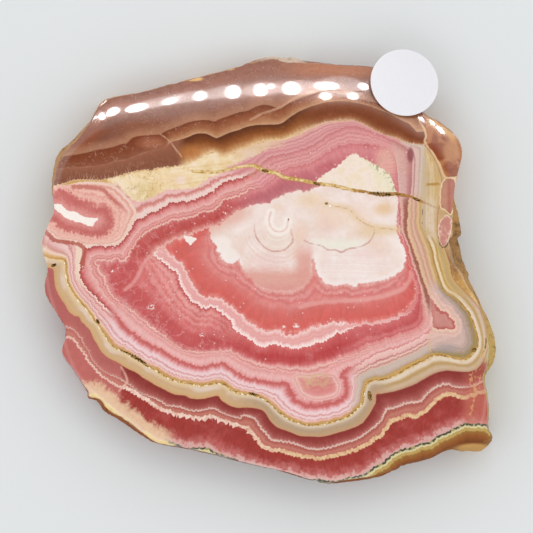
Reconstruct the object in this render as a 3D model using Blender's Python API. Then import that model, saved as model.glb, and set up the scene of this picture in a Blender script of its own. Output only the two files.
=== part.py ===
"""A polished slice of banded rhodochrosite with a round paper label stuck on its edge.

The slice is one natural stone: sawn flat behind, polished in front, with the rough
rind of the stalactite left all round. It lies on its sawn back, polished face up.
The origin is the middle of the area it covers, at the level it rests on; +X is the
long way across and +Y points to the edge where the polish rolls over.
Lengths in the tables are millimetres, and MM turns them into Blender's metres.
"""

import math

import bmesh
import bpy
import numpy as np
from mathutils import Matrix, Vector, noise

for old in list(bpy.data.objects):
    bpy.data.objects.remove(old, do_unlink=True)

MM = 0.001

# Driving dimensions, in millimetres.
SLICE_THICKNESS = 5.5
LABEL_DIAMETER = 8.0
LABEL_THICKNESS = 0.12
LABEL_CENTRE = (15.64, 21.33)
LABEL_LEAN = 17.0            # degrees it tips down, away from the middle of the slice
LABEL_CLEARANCE = 0.3        # air between the label and the stone under it
LABEL_SIDES = 40
LABEL_RINGS_TRIED = 8        # rings of places where its clearance is measured

# The widest outline of the stone, seen from above, clockwise from its left tip.
RIND_LEFT = [
    (-26.4, 2.8), (-25.8, 4.7), (-25.0, 6.6), (-25.3, 8.7), (-25.2, 10.7),
    (-24.7, 12.9), (-23.4, 14.5), (-21.0, 16.9), (-19.9, 18.8), (-18.6, 19.7),
]
CRYSTAL_CRUST_TOP = [
    (-14.9, 20.4), (-11.6, 21.3), (-7.3, 22.4), (-3.9, 23.3), (-1.5, 24.2),
    (-0.2, 24.6), (2.6, 24.5), (3.9, 24.1), (8.2, 23.6), (11.7, 23.4),
]
SHOULDER = [
    (13.7, 22.7), (15.6, 21.5), (16.9, 19.6), (18.2, 17.8), (19.8, 16.9),
    (21.6, 15.5), (22.3, 14.3), (22.5, 12.9), (21.9, 10.7),
]
ROUGH_RIGHT = [
    (21.5, 8.2), (22.0, 6.3), (22.4, 4.0), (22.1, 3.2), (22.5, 0.9), (23.2, -0.8),
    (23.3, -1.6), (24.6, -4.2), (26.0, -7.4), (26.4, -9.4), (26.1, -11.1),
    (25.1, -12.8), (25.4, -14.9), (25.6, -16.5), (25.5, -18.7),
]
BROKEN_CORNER = [(26.0, -20.0), (24.8, -21.4), (22.7, -21.5), (20.9, -21.3)]
RIND_BOTTOM = [
    (18.7, -22.3), (15.9, -23.1), (14.7, -23.7), (12.9, -24.4), (10.1, -24.9),
    (7.0, -25.2), (4.8, -24.8), (1.6, -23.9), (-2.2, -23.0), (-6.8, -21.8),
    (-10.0, -21.1), (-13.2, -20.5),
]
RIND_LOWER_LEFT = [
    (-15.2, -19.4), (-17.2, -18.0), (-19.1, -16.9), (-20.1, -15.7), (-21.2, -15.3),
    (-21.3, -14.4), (-22.6, -12.3), (-24.1, -10.0), (-23.7, -8.1), (-23.8, -6.9),
    (-24.8, -5.3), (-25.9, -3.4), (-26.1, -2.0), (-25.8, -0.3), (-26.2, 1.3),
]
OUTLINE = (
    RIND_LEFT + CRYSTAL_CRUST_TOP + SHOULDER + ROUGH_RIGHT
    + BROKEN_CORNER + RIND_BOTTOM + RIND_LOWER_LEFT
)
STEPS_PER_POINT = 3

# How far the rough side stands out past the polished face: bearing in degrees
# anticlockwise from +X, then millimetres.
RIND_STANDS_OUT = [
    (0, 1.5), (8, 1.5), (15, 0.9), (22, 0.15), (35, 0.3), (60, 0.2), (76, 0.2),
    (84, 0.9), (92, 0.8), (96, 0.2), (130, 0.2), (140, 0.3), (147, 0.8), (152, 1.0),
    (156, 0.7), (160, 0.4), (163, 0.15), (200, 0.2), (213, 0.3), (217, 0.9),
    (230, 0.8), (238, 0.3), (285, 0.3), (290, 0.6), (312, 0.6), (317, 1.0),
    (320, 1.4), (324, 0.4), (334, 0.5), (338, 1.2), (342, 1.4), (347, 0.8),
    (352, 0.5), (357, 0.9),
]

# Where the polished face rolls over towards its edge: bearing, width of the roll
# and how far it drops. Away from the top edge only the arris is eased.
POLISH_ROLLS = [
    (0, 0.6, 0.12), (20, 0.6, 0.15), (30, 2.5, 0.9), (45, 4.5, 1.8), (60, 6.5, 2.4),
    (90, 7.0, 2.6), (120, 7.0, 2.4), (135, 4.5, 1.8), (142, 1.5, 0.5),
    (150, 0.6, 0.15), (170, 0.6, 0.12),
]
ROLL_CURVE = 2.3             # the drop grows as this power of the way across the roll
ROLL_STEPS = 4

# Down the side: share of the height from the face to the back, share of the stand-out
# reached there on the smooth rind, the same on the stepped right side, and how much
# of the pits' depth is let in there.
SIDE_PROFILE = [
    (0.08, 0.40, 0.22, 0.35), (0.20, 0.68, 0.30, 0.80), (0.32, 0.88, 0.52, 0.70),
    (0.44, 0.98, 0.92, 0.35), (0.56, 1.00, 1.00, 0.20), (0.68, 0.95, 0.90, 0.60),
    (0.80, 0.84, 0.60, 1.00), (0.91, 0.72, 0.62, 0.90), (1.00, 0.60, 0.50, 0.60),
]
STEPPED_FROM, STEPPED_TO = -25.0, 25.0      # bearings of the stepped right side
PIT_DEPTH = 1.5              # a hollow in the rough side is at most about half of this
PIT_SPACING = 3.4            # distance from one hollow to the next
PIT_ROUGHNESS = 0.45         # strength of the small hollows beside that of the large

# Hollows left open in the polished face along the gold seam and the gold vein:
# centre, half-length, half-width, depth and the direction of the long way.
OPEN_POCKETS = [
    (-24.9, 0.2, 0.35, 0.18, 0.30, 20), (-19.8, -6.3, 0.35, 0.16, 0.30, -60),
    (-15.4, -10.5, 1.50, 0.13, 0.30, -30), (-1.8, -14.7, 0.65, 0.16, 0.30, -15),
    (11.6, -14.9, 0.60, 0.24, 0.45, -80), (23.6, -9.6, 0.35, 0.22, 0.35, 10),
    (-0.5, 11.1, 0.45, 0.17, 0.30, -12), (5.5, 9.6, 0.45, 0.17, 0.30, -15),
    (13.0, 8.4, 1.40, 0.16, 0.40, -6), (17.0, 7.8, 0.45, 0.15, 0.30, -25),
]
POCKET_RINGS = 4

SHARP_ANGLE = 50.0           # edges turning by more than this, in degrees, look sharp
FLAT_FACE_TILT = 0.5         # faces tilted less than this, in degrees, are shaded flat


def bearing_of(point):
    """Direction of a point from the middle of the slice, in degrees from 0 to 360."""
    return math.degrees(math.atan2(point.y, point.x)) % 360.0


def read_table(table, bearing, column=1):
    """A value of a bearing table, in a straight line between its rows."""
    rows = np.array(table)
    return float(np.interp(bearing, rows[:, 0], rows[:, column], period=360.0))


def smooth_outline(points, steps):
    """A closed Catmull-Rom curve through the points, with steps to each of them."""
    count = len(points)
    curve = []
    for index in range(count):
        a, b, c, d = (Vector(points[(index + shift) % count]) for shift in (-1, 0, 1, 2))
        for step in range(steps):
            t = step / steps
            curve.append(
                0.5 * (2 * b + (c - a) * t + (2 * a - 5 * b + 4 * c - d) * t * t
                       + (3 * b - a - 3 * c + d) * t ** 3)
            )
    return curve


def drawn_in(point, distance):
    """The point moved straight towards the middle of the slice."""
    return point * (1.0 - distance / point.length)


def roll_height(share, drop):
    """Height of the polished face at a share of the way across its roll."""
    return SLICE_THICKNESS - drop * share ** ROLL_CURVE


def face_height(point, outline):
    """Height of the polished face under a point, or None past the face's edge."""
    bearing = bearing_of(point)
    rim = [(bearing_of(place), place.length) for place in outline]
    edge_radius = read_table(sorted(rim), bearing) - read_table(RIND_STANDS_OUT, bearing)
    if point.length > edge_radius:
        return None
    width = read_table(POLISH_ROLLS, bearing, 1)
    share = max(0.0, 1.0 - (edge_radius - point.length) / width)
    return roll_height(share, read_table(POLISH_ROLLS, bearing, 2))


def is_stepped(bearing):
    """True on the right side, where the rind broke away in steps."""
    signed = (bearing + 180.0) % 360.0 - 180.0
    return STEPPED_FROM < signed < STEPPED_TO


def pit(x, y, z):
    """Depth of the hollow in the rough side at a place on it."""
    place = Vector((x, y, 1.5 * z)) / PIT_SPACING
    hollow = noise.noise(place) + PIT_ROUGHNESS * noise.noise(2.3 * place)
    return PIT_DEPTH * max(0.0, hollow)


def column_down(point):
    """One column of points, from where the roll starts, over the edge, to the back."""
    bearing = bearing_of(point)
    stand_out = read_table(RIND_STANDS_OUT, bearing)
    width = read_table(POLISH_ROLLS, bearing, 1)
    drop = read_table(POLISH_ROLLS, bearing, 2)
    edge = drawn_in(point, stand_out)
    column = []
    for step in range(ROLL_STEPS + 1):
        share = step / ROLL_STEPS
        place = drawn_in(edge, width * (1.0 - share))
        column.append((place.x, place.y, roll_height(share, drop)))
    edge_height = SLICE_THICKNESS - drop
    for down, smooth_share, stepped_share, pit_share in SIDE_PROFILE:
        height = edge_height * (1.0 - down)
        reached = stepped_share if is_stepped(bearing) else smooth_share
        hollow = pit_share * pit(point.x, point.y, height)
        place = drawn_in(point, stand_out * (1.0 - reached) + hollow)
        column.append((place.x, place.y, height))
    return column


def make_material(name, colour, roughness, metallic=0.0):
    material = bpy.data.materials.new(name)
    material.use_nodes = True
    shader = material.node_tree.nodes["Principled BSDF"]
    shader.inputs["Base Color"].default_value = (*colour, 1.0)
    shader.inputs["Roughness"].default_value = roughness
    shader.inputs["Metallic"].default_value = metallic
    return material


def make_object(name, bm, material):
    bmesh.ops.recalc_face_normals(bm, faces=bm.faces)
    mesh = bpy.data.meshes.new(name)
    bm.to_mesh(mesh)
    bm.free()
    mesh.materials.append(material)
    mesh.shade_smooth()
    mesh.set_sharp_from_angle(angle=math.radians(SHARP_ANGLE))
    piece = bpy.data.objects.new(name, mesh)
    bpy.context.scene.collection.objects.link(piece)
    return piece


def make_slab():
    """The stone without its pockets: rings of the columns, closed above and below."""
    bm = bmesh.new()
    columns = [
        [bm.verts.new(Vector(place) * MM) for place in column_down(point)]
        for point in smooth_outline(OUTLINE, STEPS_PER_POINT)
    ]
    for near, far in zip(columns, columns[1:] + columns[:1]):
        for upper in range(len(near) - 1):
            bm.faces.new((near[upper], near[upper + 1], far[upper + 1], far[upper]))
    for end in (0, -1):
        bm.faces.new([column[end] for column in columns])
    stone = make_material("banded_stone", (0.62, 0.22, 0.20), 0.18)
    return make_object("rhodochrosite_slice", bm, stone)


def make_pocket_cutter():
    """Flattened pebbles that scoop the open pockets out of the polished face."""
    bm = bmesh.new()
    for x, y, half_length, half_width, depth, turn in OPEN_POCKETS:
        shape = (
            Matrix.Translation(Vector((x, y, SLICE_THICKNESS)) * MM)
            @ Matrix.Rotation(math.radians(turn), 4, "Z")
            @ Matrix.Diagonal((half_length * MM, half_width * MM, depth * MM, 1.0))
        )
        bmesh.ops.create_uvsphere(
            bm, u_segments=3 * POCKET_RINGS, v_segments=2 * POCKET_RINGS - 1, radius=1.0, matrix=shape
        )
    cutter = make_object("pocket_cutter", bm, make_material("cutter", (0.5, 0.5, 0.5), 0.5))
    cutter.hide_render = True
    cutter.display_type = "WIRE"
    return cutter


def label_height(centre, outward):
    """Height of the label's middle that leaves its clearance over the highest stone."""
    outline = smooth_outline(OUTLINE, STEPS_PER_POINT)
    fall = math.tan(math.radians(LABEL_LEAN))
    heights = []
    for ring in range(LABEL_RINGS_TRIED + 1):
        radius = LABEL_DIAMETER / 2 * ring / LABEL_RINGS_TRIED
        for side in range(LABEL_SIDES):
            angle = math.tau * side / LABEL_SIDES
            reach = Vector((radius * math.cos(angle), radius * math.sin(angle)))
            under = face_height(centre + reach, outline)
            if under is not None:
                heights.append(under + fall * reach.dot(outward))
    return max(heights) + LABEL_CLEARANCE + LABEL_THICKNESS / 2


def make_label():
    """A thin paper disc held by the roll, tipped the way the roll tips there."""
    centre = Vector(LABEL_CENTRE)
    outward = centre.normalized()
    height = label_height(centre, outward)
    lean = Matrix.Rotation(math.radians(LABEL_LEAN), 4, Vector((-outward.y, outward.x, 0.0)))
    place = Matrix.Translation(Vector((centre.x, centre.y, height)) * MM) @ lean
    bm = bmesh.new()
    bmesh.ops.create_cone(
        bm, cap_ends=True, segments=LABEL_SIDES,
        radius1=LABEL_DIAMETER / 2 * MM, radius2=LABEL_DIAMETER / 2 * MM,
        depth=LABEL_THICKNESS * MM, matrix=place,
    )
    make_object("paper_label", bm, make_material("white_paper", (0.86, 0.86, 0.85), 0.7))


def cut_pockets(slab):
    """Scoops the pockets out of the slab and shades its sawn and polished faces flat."""
    cutter = make_pocket_cutter()
    pockets = slab.modifiers.new("open_pockets", "BOOLEAN")
    pockets.object = cutter
    pockets.operation = "DIFFERENCE"
    pockets.solver = "EXACT"
    view = bpy.context.evaluated_depsgraph_get()
    slab.data = bpy.data.meshes.new_from_object(slab.evaluated_get(view))
    slab.modifiers.clear()
    bpy.data.objects.remove(cutter)
    for face in slab.data.polygons:
        face.use_smooth = abs(face.normal.z) < math.cos(math.radians(FLAT_FACE_TILT))


cut_pockets(make_slab())
make_label()
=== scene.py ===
# %% [markdown]
# # A polished slice of banded rhodochrosite
#
# This is a slice through a stalactite of manganese carbonate. It grew ring by ring in
# a cave of an old mine: pink, rose and cream bands round a pale heart, with a seam of
# golden carbonate and a brown crust. A saw took a flat slice off it, and a wheel
# polished one face. The back is as the saw left it, and the rind all round is rough.
#
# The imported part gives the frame: metres, origin under the middle of the slice, +Z up
# out of the polished face. Everything below is built in that frame.

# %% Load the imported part
import math

import bpy
import numpy as np
from mathutils import Matrix, Vector, noise
from mathutils.geometry import delaunay_2d_cdt


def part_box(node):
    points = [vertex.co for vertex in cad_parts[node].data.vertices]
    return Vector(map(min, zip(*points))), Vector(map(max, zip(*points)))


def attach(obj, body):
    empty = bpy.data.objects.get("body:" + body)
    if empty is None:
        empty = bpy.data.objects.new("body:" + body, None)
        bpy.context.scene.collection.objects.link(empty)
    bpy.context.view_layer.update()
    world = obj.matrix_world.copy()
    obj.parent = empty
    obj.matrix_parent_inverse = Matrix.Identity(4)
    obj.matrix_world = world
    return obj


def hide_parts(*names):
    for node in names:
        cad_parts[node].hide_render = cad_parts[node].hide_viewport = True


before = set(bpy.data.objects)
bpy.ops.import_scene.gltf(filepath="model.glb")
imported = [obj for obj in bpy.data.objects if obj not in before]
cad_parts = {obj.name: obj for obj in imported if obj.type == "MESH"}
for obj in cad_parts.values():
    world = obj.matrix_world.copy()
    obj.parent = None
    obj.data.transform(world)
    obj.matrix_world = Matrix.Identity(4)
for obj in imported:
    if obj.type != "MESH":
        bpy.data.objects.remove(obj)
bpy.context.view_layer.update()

# %% [markdown]
# ## Units
#
# Lengths are written in millimetres, because that is how a stone cutter thinks of a
# slice this size, and `MM` turns them into Blender's metres. The growth lines are
# drawn on squared paper laid over the slice, with squares 0.1155 mm wide, counted
# from the paper's upper left corner. `on_slice` turns a place on the paper into
# millimetres from the middle of the slice.

# %% Millimetres and squared paper
MM = 0.001
SQUARE = 0.1155
PAPER_MIDDLE = (269.3, 266.9)


def on_slice(points):
    """Places on the squared paper as millimetres from the middle of the slice."""
    paper = np.array(points, float)
    return np.stack(
        [(paper[:, 0] - PAPER_MIDDLE[0]) * SQUARE, (PAPER_MIDDLE[1] - paper[:, 1]) * SQUARE], axis=1
    )


def smooth(points, steps, closed=True):
    """A Catmull-Rom curve through the points, with steps to each of them."""
    p = np.array(points, float)
    if closed:
        before, after, later = np.roll(p, 1, 0), np.roll(p, -1, 0), np.roll(p, -2, 0)
    else:
        before = np.vstack([p[:1], p[:-1]])
        after = np.vstack([p[1:], p[-1:]])
        later = np.vstack([p[2:], p[-1:], p[-1:]])
    a, b, c, d = (q[:, None] for q in (before, p, after, later))
    t = (np.arange(steps) / steps)[None, :, None]
    curve = 0.5 * (2 * b + (c - a) * t + (2 * a - 5 * b + 4 * c - d) * t ** 2
                   + (3 * b - a - 3 * c + d) * t ** 3)
    curve = curve.reshape(-1, 2)
    return curve if closed else curve[: 1 - steps]


# %% [markdown]
# ## The body of the slice
#
# The body is a thick disc with a wandering outline. Its outline, the way its polished
# face rolls over along the top edge, and the hollows in its rind are the same as in
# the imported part, so the same tables stand here in millimetres. The part has about
# seven thousand triangles. This mesh has far more, because it also carries the growth
# bands: each corner of the mesh stores how far it lies from every growth line, and
# the material draws the bands from those distances. A fine mesh keeps them sharp.

# %% Outline of the stone, clockwise from its left tip
THICKNESS = 5.5
OUTLINE = [
    (-26.4, 2.8), (-25.8, 4.7), (-25.0, 6.6), (-25.3, 8.7), (-25.2, 10.7),
    (-24.7, 12.9), (-23.4, 14.5), (-21.0, 16.9), (-19.9, 18.8), (-18.6, 19.7),
    (-14.9, 20.4), (-11.6, 21.3), (-7.3, 22.4), (-3.9, 23.3), (-1.5, 24.2),
    (-0.2, 24.6), (2.6, 24.5), (3.9, 24.1), (8.2, 23.6), (11.7, 23.4),
    (13.7, 22.7), (15.6, 21.5), (16.9, 19.6), (18.2, 17.8), (19.8, 16.9),
    (21.6, 15.5), (22.3, 14.3), (22.5, 12.9), (21.9, 10.7),
    (21.5, 8.2), (22.0, 6.3), (22.4, 4.0), (22.1, 3.2), (22.5, 0.9), (23.2, -0.8),
    (23.3, -1.6), (24.6, -4.2), (26.0, -7.4), (26.4, -9.4), (26.1, -11.1),
    (25.1, -12.8), (25.4, -14.9), (25.6, -16.5), (25.5, -18.7),
    (26.0, -20.0), (24.8, -21.4), (22.7, -21.5), (20.9, -21.3),
    (18.7, -22.3), (15.9, -23.1), (14.7, -23.7), (12.9, -24.4), (10.1, -24.9),
    (7.0, -25.2), (4.8, -24.8), (1.6, -23.9), (-2.2, -23.0), (-6.8, -21.8),
    (-10.0, -21.1), (-13.2, -20.5),
    (-15.2, -19.4), (-17.2, -18.0), (-19.1, -16.9), (-20.1, -15.7), (-21.2, -15.3),
    (-21.3, -14.4), (-22.6, -12.3), (-24.1, -10.0), (-23.7, -8.1), (-23.8, -6.9),
    (-24.8, -5.3), (-25.9, -3.4), (-26.1, -2.0), (-25.8, -0.3), (-26.2, 1.3),
]
COLUMNS_PER_POINT = 12
INSIDE_THE_PART = 0.02       # keeps the finer curve inside the part's own outline

rim = smooth(OUTLINE, COLUMNS_PER_POINT)
rim *= 1.0 - INSIDE_THE_PART / np.linalg.norm(rim, axis=1)[:, None]
print(len(rim), "columns round the stone")

# %% How the rind stands out and the polish rolls over, by bearing
RIND_STANDS_OUT = [
    (0, 1.5), (8, 1.5), (15, 0.9), (22, 0.15), (35, 0.3), (60, 0.2), (76, 0.2),
    (84, 0.9), (92, 0.8), (96, 0.2), (130, 0.2), (140, 0.3), (147, 0.8), (152, 1.0),
    (156, 0.7), (160, 0.4), (163, 0.15), (200, 0.2), (213, 0.3), (217, 0.9),
    (230, 0.8), (238, 0.3), (285, 0.3), (290, 0.6), (312, 0.6), (317, 1.0),
    (320, 1.4), (324, 0.4), (334, 0.5), (338, 1.2), (342, 1.4), (347, 0.8),
    (352, 0.5), (357, 0.9),
]
POLISH_ROLLS = [             # bearing, width of the roll, drop at its edge
    (0, 0.6, 0.12), (20, 0.6, 0.15), (30, 2.5, 0.9), (45, 4.5, 1.8), (60, 6.5, 2.4),
    (90, 7.0, 2.6), (120, 7.0, 2.4), (135, 4.5, 1.8), (142, 1.5, 0.5),
    (150, 0.6, 0.15), (170, 0.6, 0.12),
]
ROLL_CURVE = 2.3


def bearing(places):
    """Direction of each place from the middle of the slice, in degrees."""
    return np.degrees(np.arctan2(places[:, 1], places[:, 0])) % 360.0


def read_table(table, bearings, column=1):
    """Values of a bearing table, in straight lines between its rows."""
    rows = np.array(table)
    return np.interp(bearings, rows[:, 0], rows[:, column], period=360.0)


def drawn_in(places, distances):
    """Places moved straight towards the middle of the slice."""
    reach = np.linalg.norm(places, axis=1)
    return places * (1.0 - distances / reach)[:, None]


rim_bearings = bearing(rim)
stand_out = read_table(RIND_STANDS_OUT, rim_bearings)
arris = drawn_in(rim, stand_out)
order = np.argsort(rim_bearings)
arris_reach = np.linalg.norm(arris, axis=1)[order]
arris_bearings = rim_bearings[order]


def inset(places):
    """How far inside the arris each place of the polished face lies."""
    edge = np.interp(bearing(places), arris_bearings, arris_reach, period=360.0)
    return edge - np.linalg.norm(places, axis=1)


# %% [markdown]
# A polishing wheel can't follow each small bend of the outline, so its roll runs
# smoothly past them. The tables and the arris are therefore averaged over a few
# degrees before they shape the roll. Without this, every bend would break the row of
# reflections along it.

# %% The roll, smoothed as a wheel would leave it
EVEN_BEARINGS = np.arange(0.0, 360.0, 0.5)
WHEEL_SPAN = 5.0             # degrees that the wheel averages over


def wheel_smoothed(values):
    """Values at the even bearings, averaged with a bell-shaped weight."""
    apart = np.minimum(EVEN_BEARINGS, 360.0 - EVEN_BEARINGS)
    weight = np.exp(-0.5 * (apart / WHEEL_SPAN) ** 2)
    spectrum = np.fft.fft(weight / weight.sum()) * np.fft.fft(values)
    return np.real(np.fft.ifft(spectrum))


even_reach = np.interp(EVEN_BEARINGS, arris_bearings, arris_reach, period=360.0)
wheel_edge = wheel_smoothed(even_reach)
wheel_width = wheel_smoothed(read_table(POLISH_ROLLS, EVEN_BEARINGS, 1))
wheel_drop = wheel_smoothed(read_table(POLISH_ROLLS, EVEN_BEARINGS, 2))


def rolled_height(places):
    """Height of the polished face: level in the middle, falling over its roll."""
    bearings = bearing(places)
    edge, width, drop = (
        np.interp(bearings, EVEN_BEARINGS, values, period=360.0)
        for values in (wheel_edge, wheel_width, wheel_drop)
    )
    share = 1.0 - (edge - np.linalg.norm(places, axis=1)) / width
    return THICKNESS - drop * np.clip(share, 0.0, 1.12) ** ROLL_CURVE


print("the roll falls", round(THICKNESS - rolled_height(arris).min(), 2), "mm at its lowest")

# %% [markdown]
# ## Open pockets
#
# The golden seam never closed everywhere: small slots are left along it, lined with
# tiny crystals; the material colours them dark brown, patched with gold. They could be
# dark spots in the material alone, but a slot catches light on one lip and shadow on the
# other, so they are pressed into the mesh. Each is an ellipse with a bowl-shaped floor,
# a little ragged.

# %% Pockets: middle, half-length, half-width, depth, direction
OPEN_POCKETS = [
    (-24.9, 0.2, 0.35, 0.18, 0.30, 20), (-19.8, -6.3, 0.35, 0.16, 0.30, -60),
    (-15.4, -10.5, 1.50, 0.13, 0.30, -30), (-1.8, -14.7, 0.65, 0.16, 0.30, -15),
    (11.6, -14.9, 0.60, 0.24, 0.45, -80), (23.6, -9.6, 0.35, 0.22, 0.35, 10),
    (-0.5, 11.1, 0.45, 0.17, 0.30, -12), (5.5, 9.6, 0.45, 0.17, 0.30, -15),
    (13.0, 8.4, 1.40, 0.16, 0.40, -6), (17.0, 7.8, 0.45, 0.15, 0.30, -25),
]
POCKET_RINGS = (0.0, 0.35, 0.6, 0.8, 0.92, 1.0, 1.15)
POCKET_SPOKES = 28


def in_pocket(places, pocket):
    """0 at the middle of a pocket and 1 at its lip, for each place."""
    x, y, half_length, half_width, depth, turn = pocket
    along = np.array([math.cos(math.radians(turn)), math.sin(math.radians(turn))])
    away = places - (x, y)
    return np.hypot(away @ along / half_length, away @ (-along[1], along[0]) / half_width)


def pocket_points(pocket):
    """Rings of mesh corners that follow a pocket's ellipse."""
    x, y, half_length, half_width, depth, turn = pocket
    angles = np.arange(POCKET_SPOKES) * math.tau / POCKET_SPOKES
    slant = math.radians(turn)
    points = [[x, y]]
    for ring in POCKET_RINGS[1:]:
        u = ring * half_length * np.cos(angles)
        v = ring * half_width * np.sin(angles)
        points += list(np.stack(
            [x + u * math.cos(slant) - v * math.sin(slant),
             y + u * math.sin(slant) + v * math.cos(slant)], axis=1
        ))
    return np.array(points)


def pocket_depth(places):
    """How deep the pockets reach under each place of the polished face."""
    depth = np.zeros(len(places))
    for pocket in OPEN_POCKETS:
        share = np.clip(in_pocket(places, pocket), 0.0, 1.0)
        depth = np.maximum(depth, pocket[4] * np.sqrt(1.0 - share ** 2))
    return depth


print(len(OPEN_POCKETS), "pockets")

# %% [markdown]
# ## Corners of the polished face
#
# The face needs corners at an even spacing, so that every band is drawn equally
# finely. Rings that shrink towards the middle would crowd there. Points on a
# triangular lattice, with the arris and the pockets put in as rings of their own, are
# even everywhere, and a Delaunay triangulation joins them up.

# %% An even lattice inside the arris
FACE_SPACING = 0.205
BACK_SPACING = 0.46
ARRIS_RINGS = (0.10, 0.24)   # extra rings just inside the arris, for a clean edge
CLEAR_OF_RINGS = 0.12


def lattice(spacing):
    """Points of a triangular lattice that covers the slice."""
    high = np.abs(rim).max() + spacing
    rows = np.arange(-high, high, spacing * math.sqrt(0.75))
    points = []
    for number, y in enumerate(rows):
        xs = np.arange(-high, high, spacing) + spacing / 2 * (number % 2)
        points.append(np.stack([xs, np.full(len(xs), y)], axis=1))
    return np.concatenate(points)


def triangulate(edge, inner):
    """Triangles over a ring of edge points and the points inside it."""
    count = len(edge)
    points = np.concatenate([edge, inner])
    border = [(index, (index + 1) % count) for index in range(count)]
    found = delaunay_2d_cdt([Vector(p) for p in points], border, [], 1, 1e-6)
    kept, triangles, origins = found[0], found[2], found[3]
    source = [origin[0] for origin in origins]
    triangles = [tuple(source[corner] for corner in triangle) for triangle in triangles]
    assert len(kept) == len(points)
    return triangles


face_lattice = lattice(FACE_SPACING)
keep = inset(face_lattice) > ARRIS_RINGS[-1] + CLEAR_OF_RINGS
for pocket in OPEN_POCKETS:
    keep &= in_pocket(face_lattice, pocket) > POCKET_RINGS[-1] + 0.35
face_inner = np.concatenate(
    [drawn_in(arris, np.full(len(arris), ring)) for ring in ARRIS_RINGS]
    + [pocket_points(pocket) for pocket in OPEN_POCKETS]
    + [face_lattice[keep]]
)
face_triangles = triangulate(arris, face_inner)
print(len(face_triangles), "triangles in the polished face")

# %% [markdown]
# ## The rough rind
#
# The side of the slice was never cut. It is the old skin of the stalactite: hollows
# a few millimetres apart, and on the right steps where the crust broke away. The part
# has those hollows already, from the same noise at the same places. Here a finer
# crumb is added, always cut inwards, so the slice never grows past the part.

# %% Columns of points down the side
SIDE_PROFILE = [             # share of the way down, smooth and stepped share, pits let in
    (0.00, 0.00, 0.00, 0.00), (0.03, 0.17, 0.09, 0.10), (0.08, 0.40, 0.22, 0.35),
    (0.14, 0.55, 0.26, 0.62), (0.20, 0.68, 0.30, 0.80), (0.26, 0.79, 0.39, 0.80),
    (0.32, 0.88, 0.52, 0.70), (0.38, 0.94, 0.74, 0.52), (0.44, 0.98, 0.92, 0.35),
    (0.50, 1.00, 0.98, 0.25), (0.56, 1.00, 1.00, 0.20), (0.62, 0.98, 0.97, 0.40),
    (0.68, 0.95, 0.90, 0.60), (0.74, 0.90, 0.74, 0.82), (0.80, 0.84, 0.60, 1.00),
    (0.86, 0.78, 0.61, 0.96), (0.91, 0.72, 0.62, 0.90), (0.96, 0.66, 0.56, 0.76),
    (1.00, 0.60, 0.50, 0.60),
]
STEPPED_FROM, STEPPED_TO = 25.0, 335.0
PIT_DEPTH = 1.5
PIT_SPACING = 3.4
PIT_ROUGHNESS = 0.45
CRUMB_DEPTH = 0.16
CRUMB_SPACING = 0.55


def pit(x, y, z):
    """Depth of the hollow in the rough side at a place on it."""
    place = Vector((x, y, 1.5 * z)) / PIT_SPACING
    hollow = noise.noise(place) + PIT_ROUGHNESS * noise.noise(2.3 * place)
    return PIT_DEPTH * max(0.0, hollow)


def crumb(x, y, z):
    """Depth of the fine crumb of the rind at a place on it."""
    place = Vector((x, y, z)) / CRUMB_SPACING
    return CRUMB_DEPTH * abs(noise.noise(place) + 0.5 * noise.noise(2.1 * place))


arris_height = rolled_height(arris)
stepped = (rim_bearings < STEPPED_FROM) | (rim_bearings > STEPPED_TO)
side_rows = []
for down, smooth_share, stepped_share, pits_let_in in SIDE_PROFILE[1:]:
    height = arris_height * (1.0 - down)
    reached = np.where(stepped, stepped_share, smooth_share)
    hollow = np.array([
        pits_let_in * pit(x, y, z) + min(1.0, 6.0 * down) * crumb(x, y, z)
        for (x, y), z in zip(rim, height)
    ])
    row = drawn_in(rim, stand_out * (1.0 - reached) + hollow)
    side_rows.append(np.column_stack([row, height]))
print(len(side_rows), "rows of points down the side")

# %% Join face, side and sawn back into one closed mesh
back_edge = side_rows[-1][:, :2]
back_reach = np.linalg.norm(back_edge, axis=1)[order]
back_lattice = lattice(BACK_SPACING)
back_room = np.interp(bearing(back_lattice), arris_bearings, back_reach, period=360.0)
back_inner = back_lattice[np.linalg.norm(back_lattice, axis=1) < back_room - 0.25]
back_triangles = triangulate(back_edge, back_inner)

face_places = np.concatenate([arris, face_inner])
face_heights = rolled_height(face_places) - pocket_depth(face_places)
count = len(rim)
corners = np.concatenate(
    [np.column_stack([face_places, face_heights])]
    + side_rows
    + [np.column_stack([back_inner, np.zeros(len(back_inner))])]
)
row_starts = [0] + [len(face_places) + count * row for row in range(len(side_rows))]
faces = list(face_triangles)
for upper, lower in zip(row_starts, row_starts[1:]):
    for near in range(count):
        far = (near + 1) % count
        faces.append((upper + near, upper + far, lower + far, lower + near))
edge_start = row_starts[-1]
faces += [tuple(edge_start + corner for corner in reversed(triangle))
          for triangle in back_triangles]
stone_mesh = bpy.data.meshes.new("banded_slice")
stone_mesh.from_pydata((corners * MM).tolist(), [], faces)
stone_mesh.validate()
print(len(corners), "corners,", sum(len(face) - 2 for face in faces), "triangles")
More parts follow.
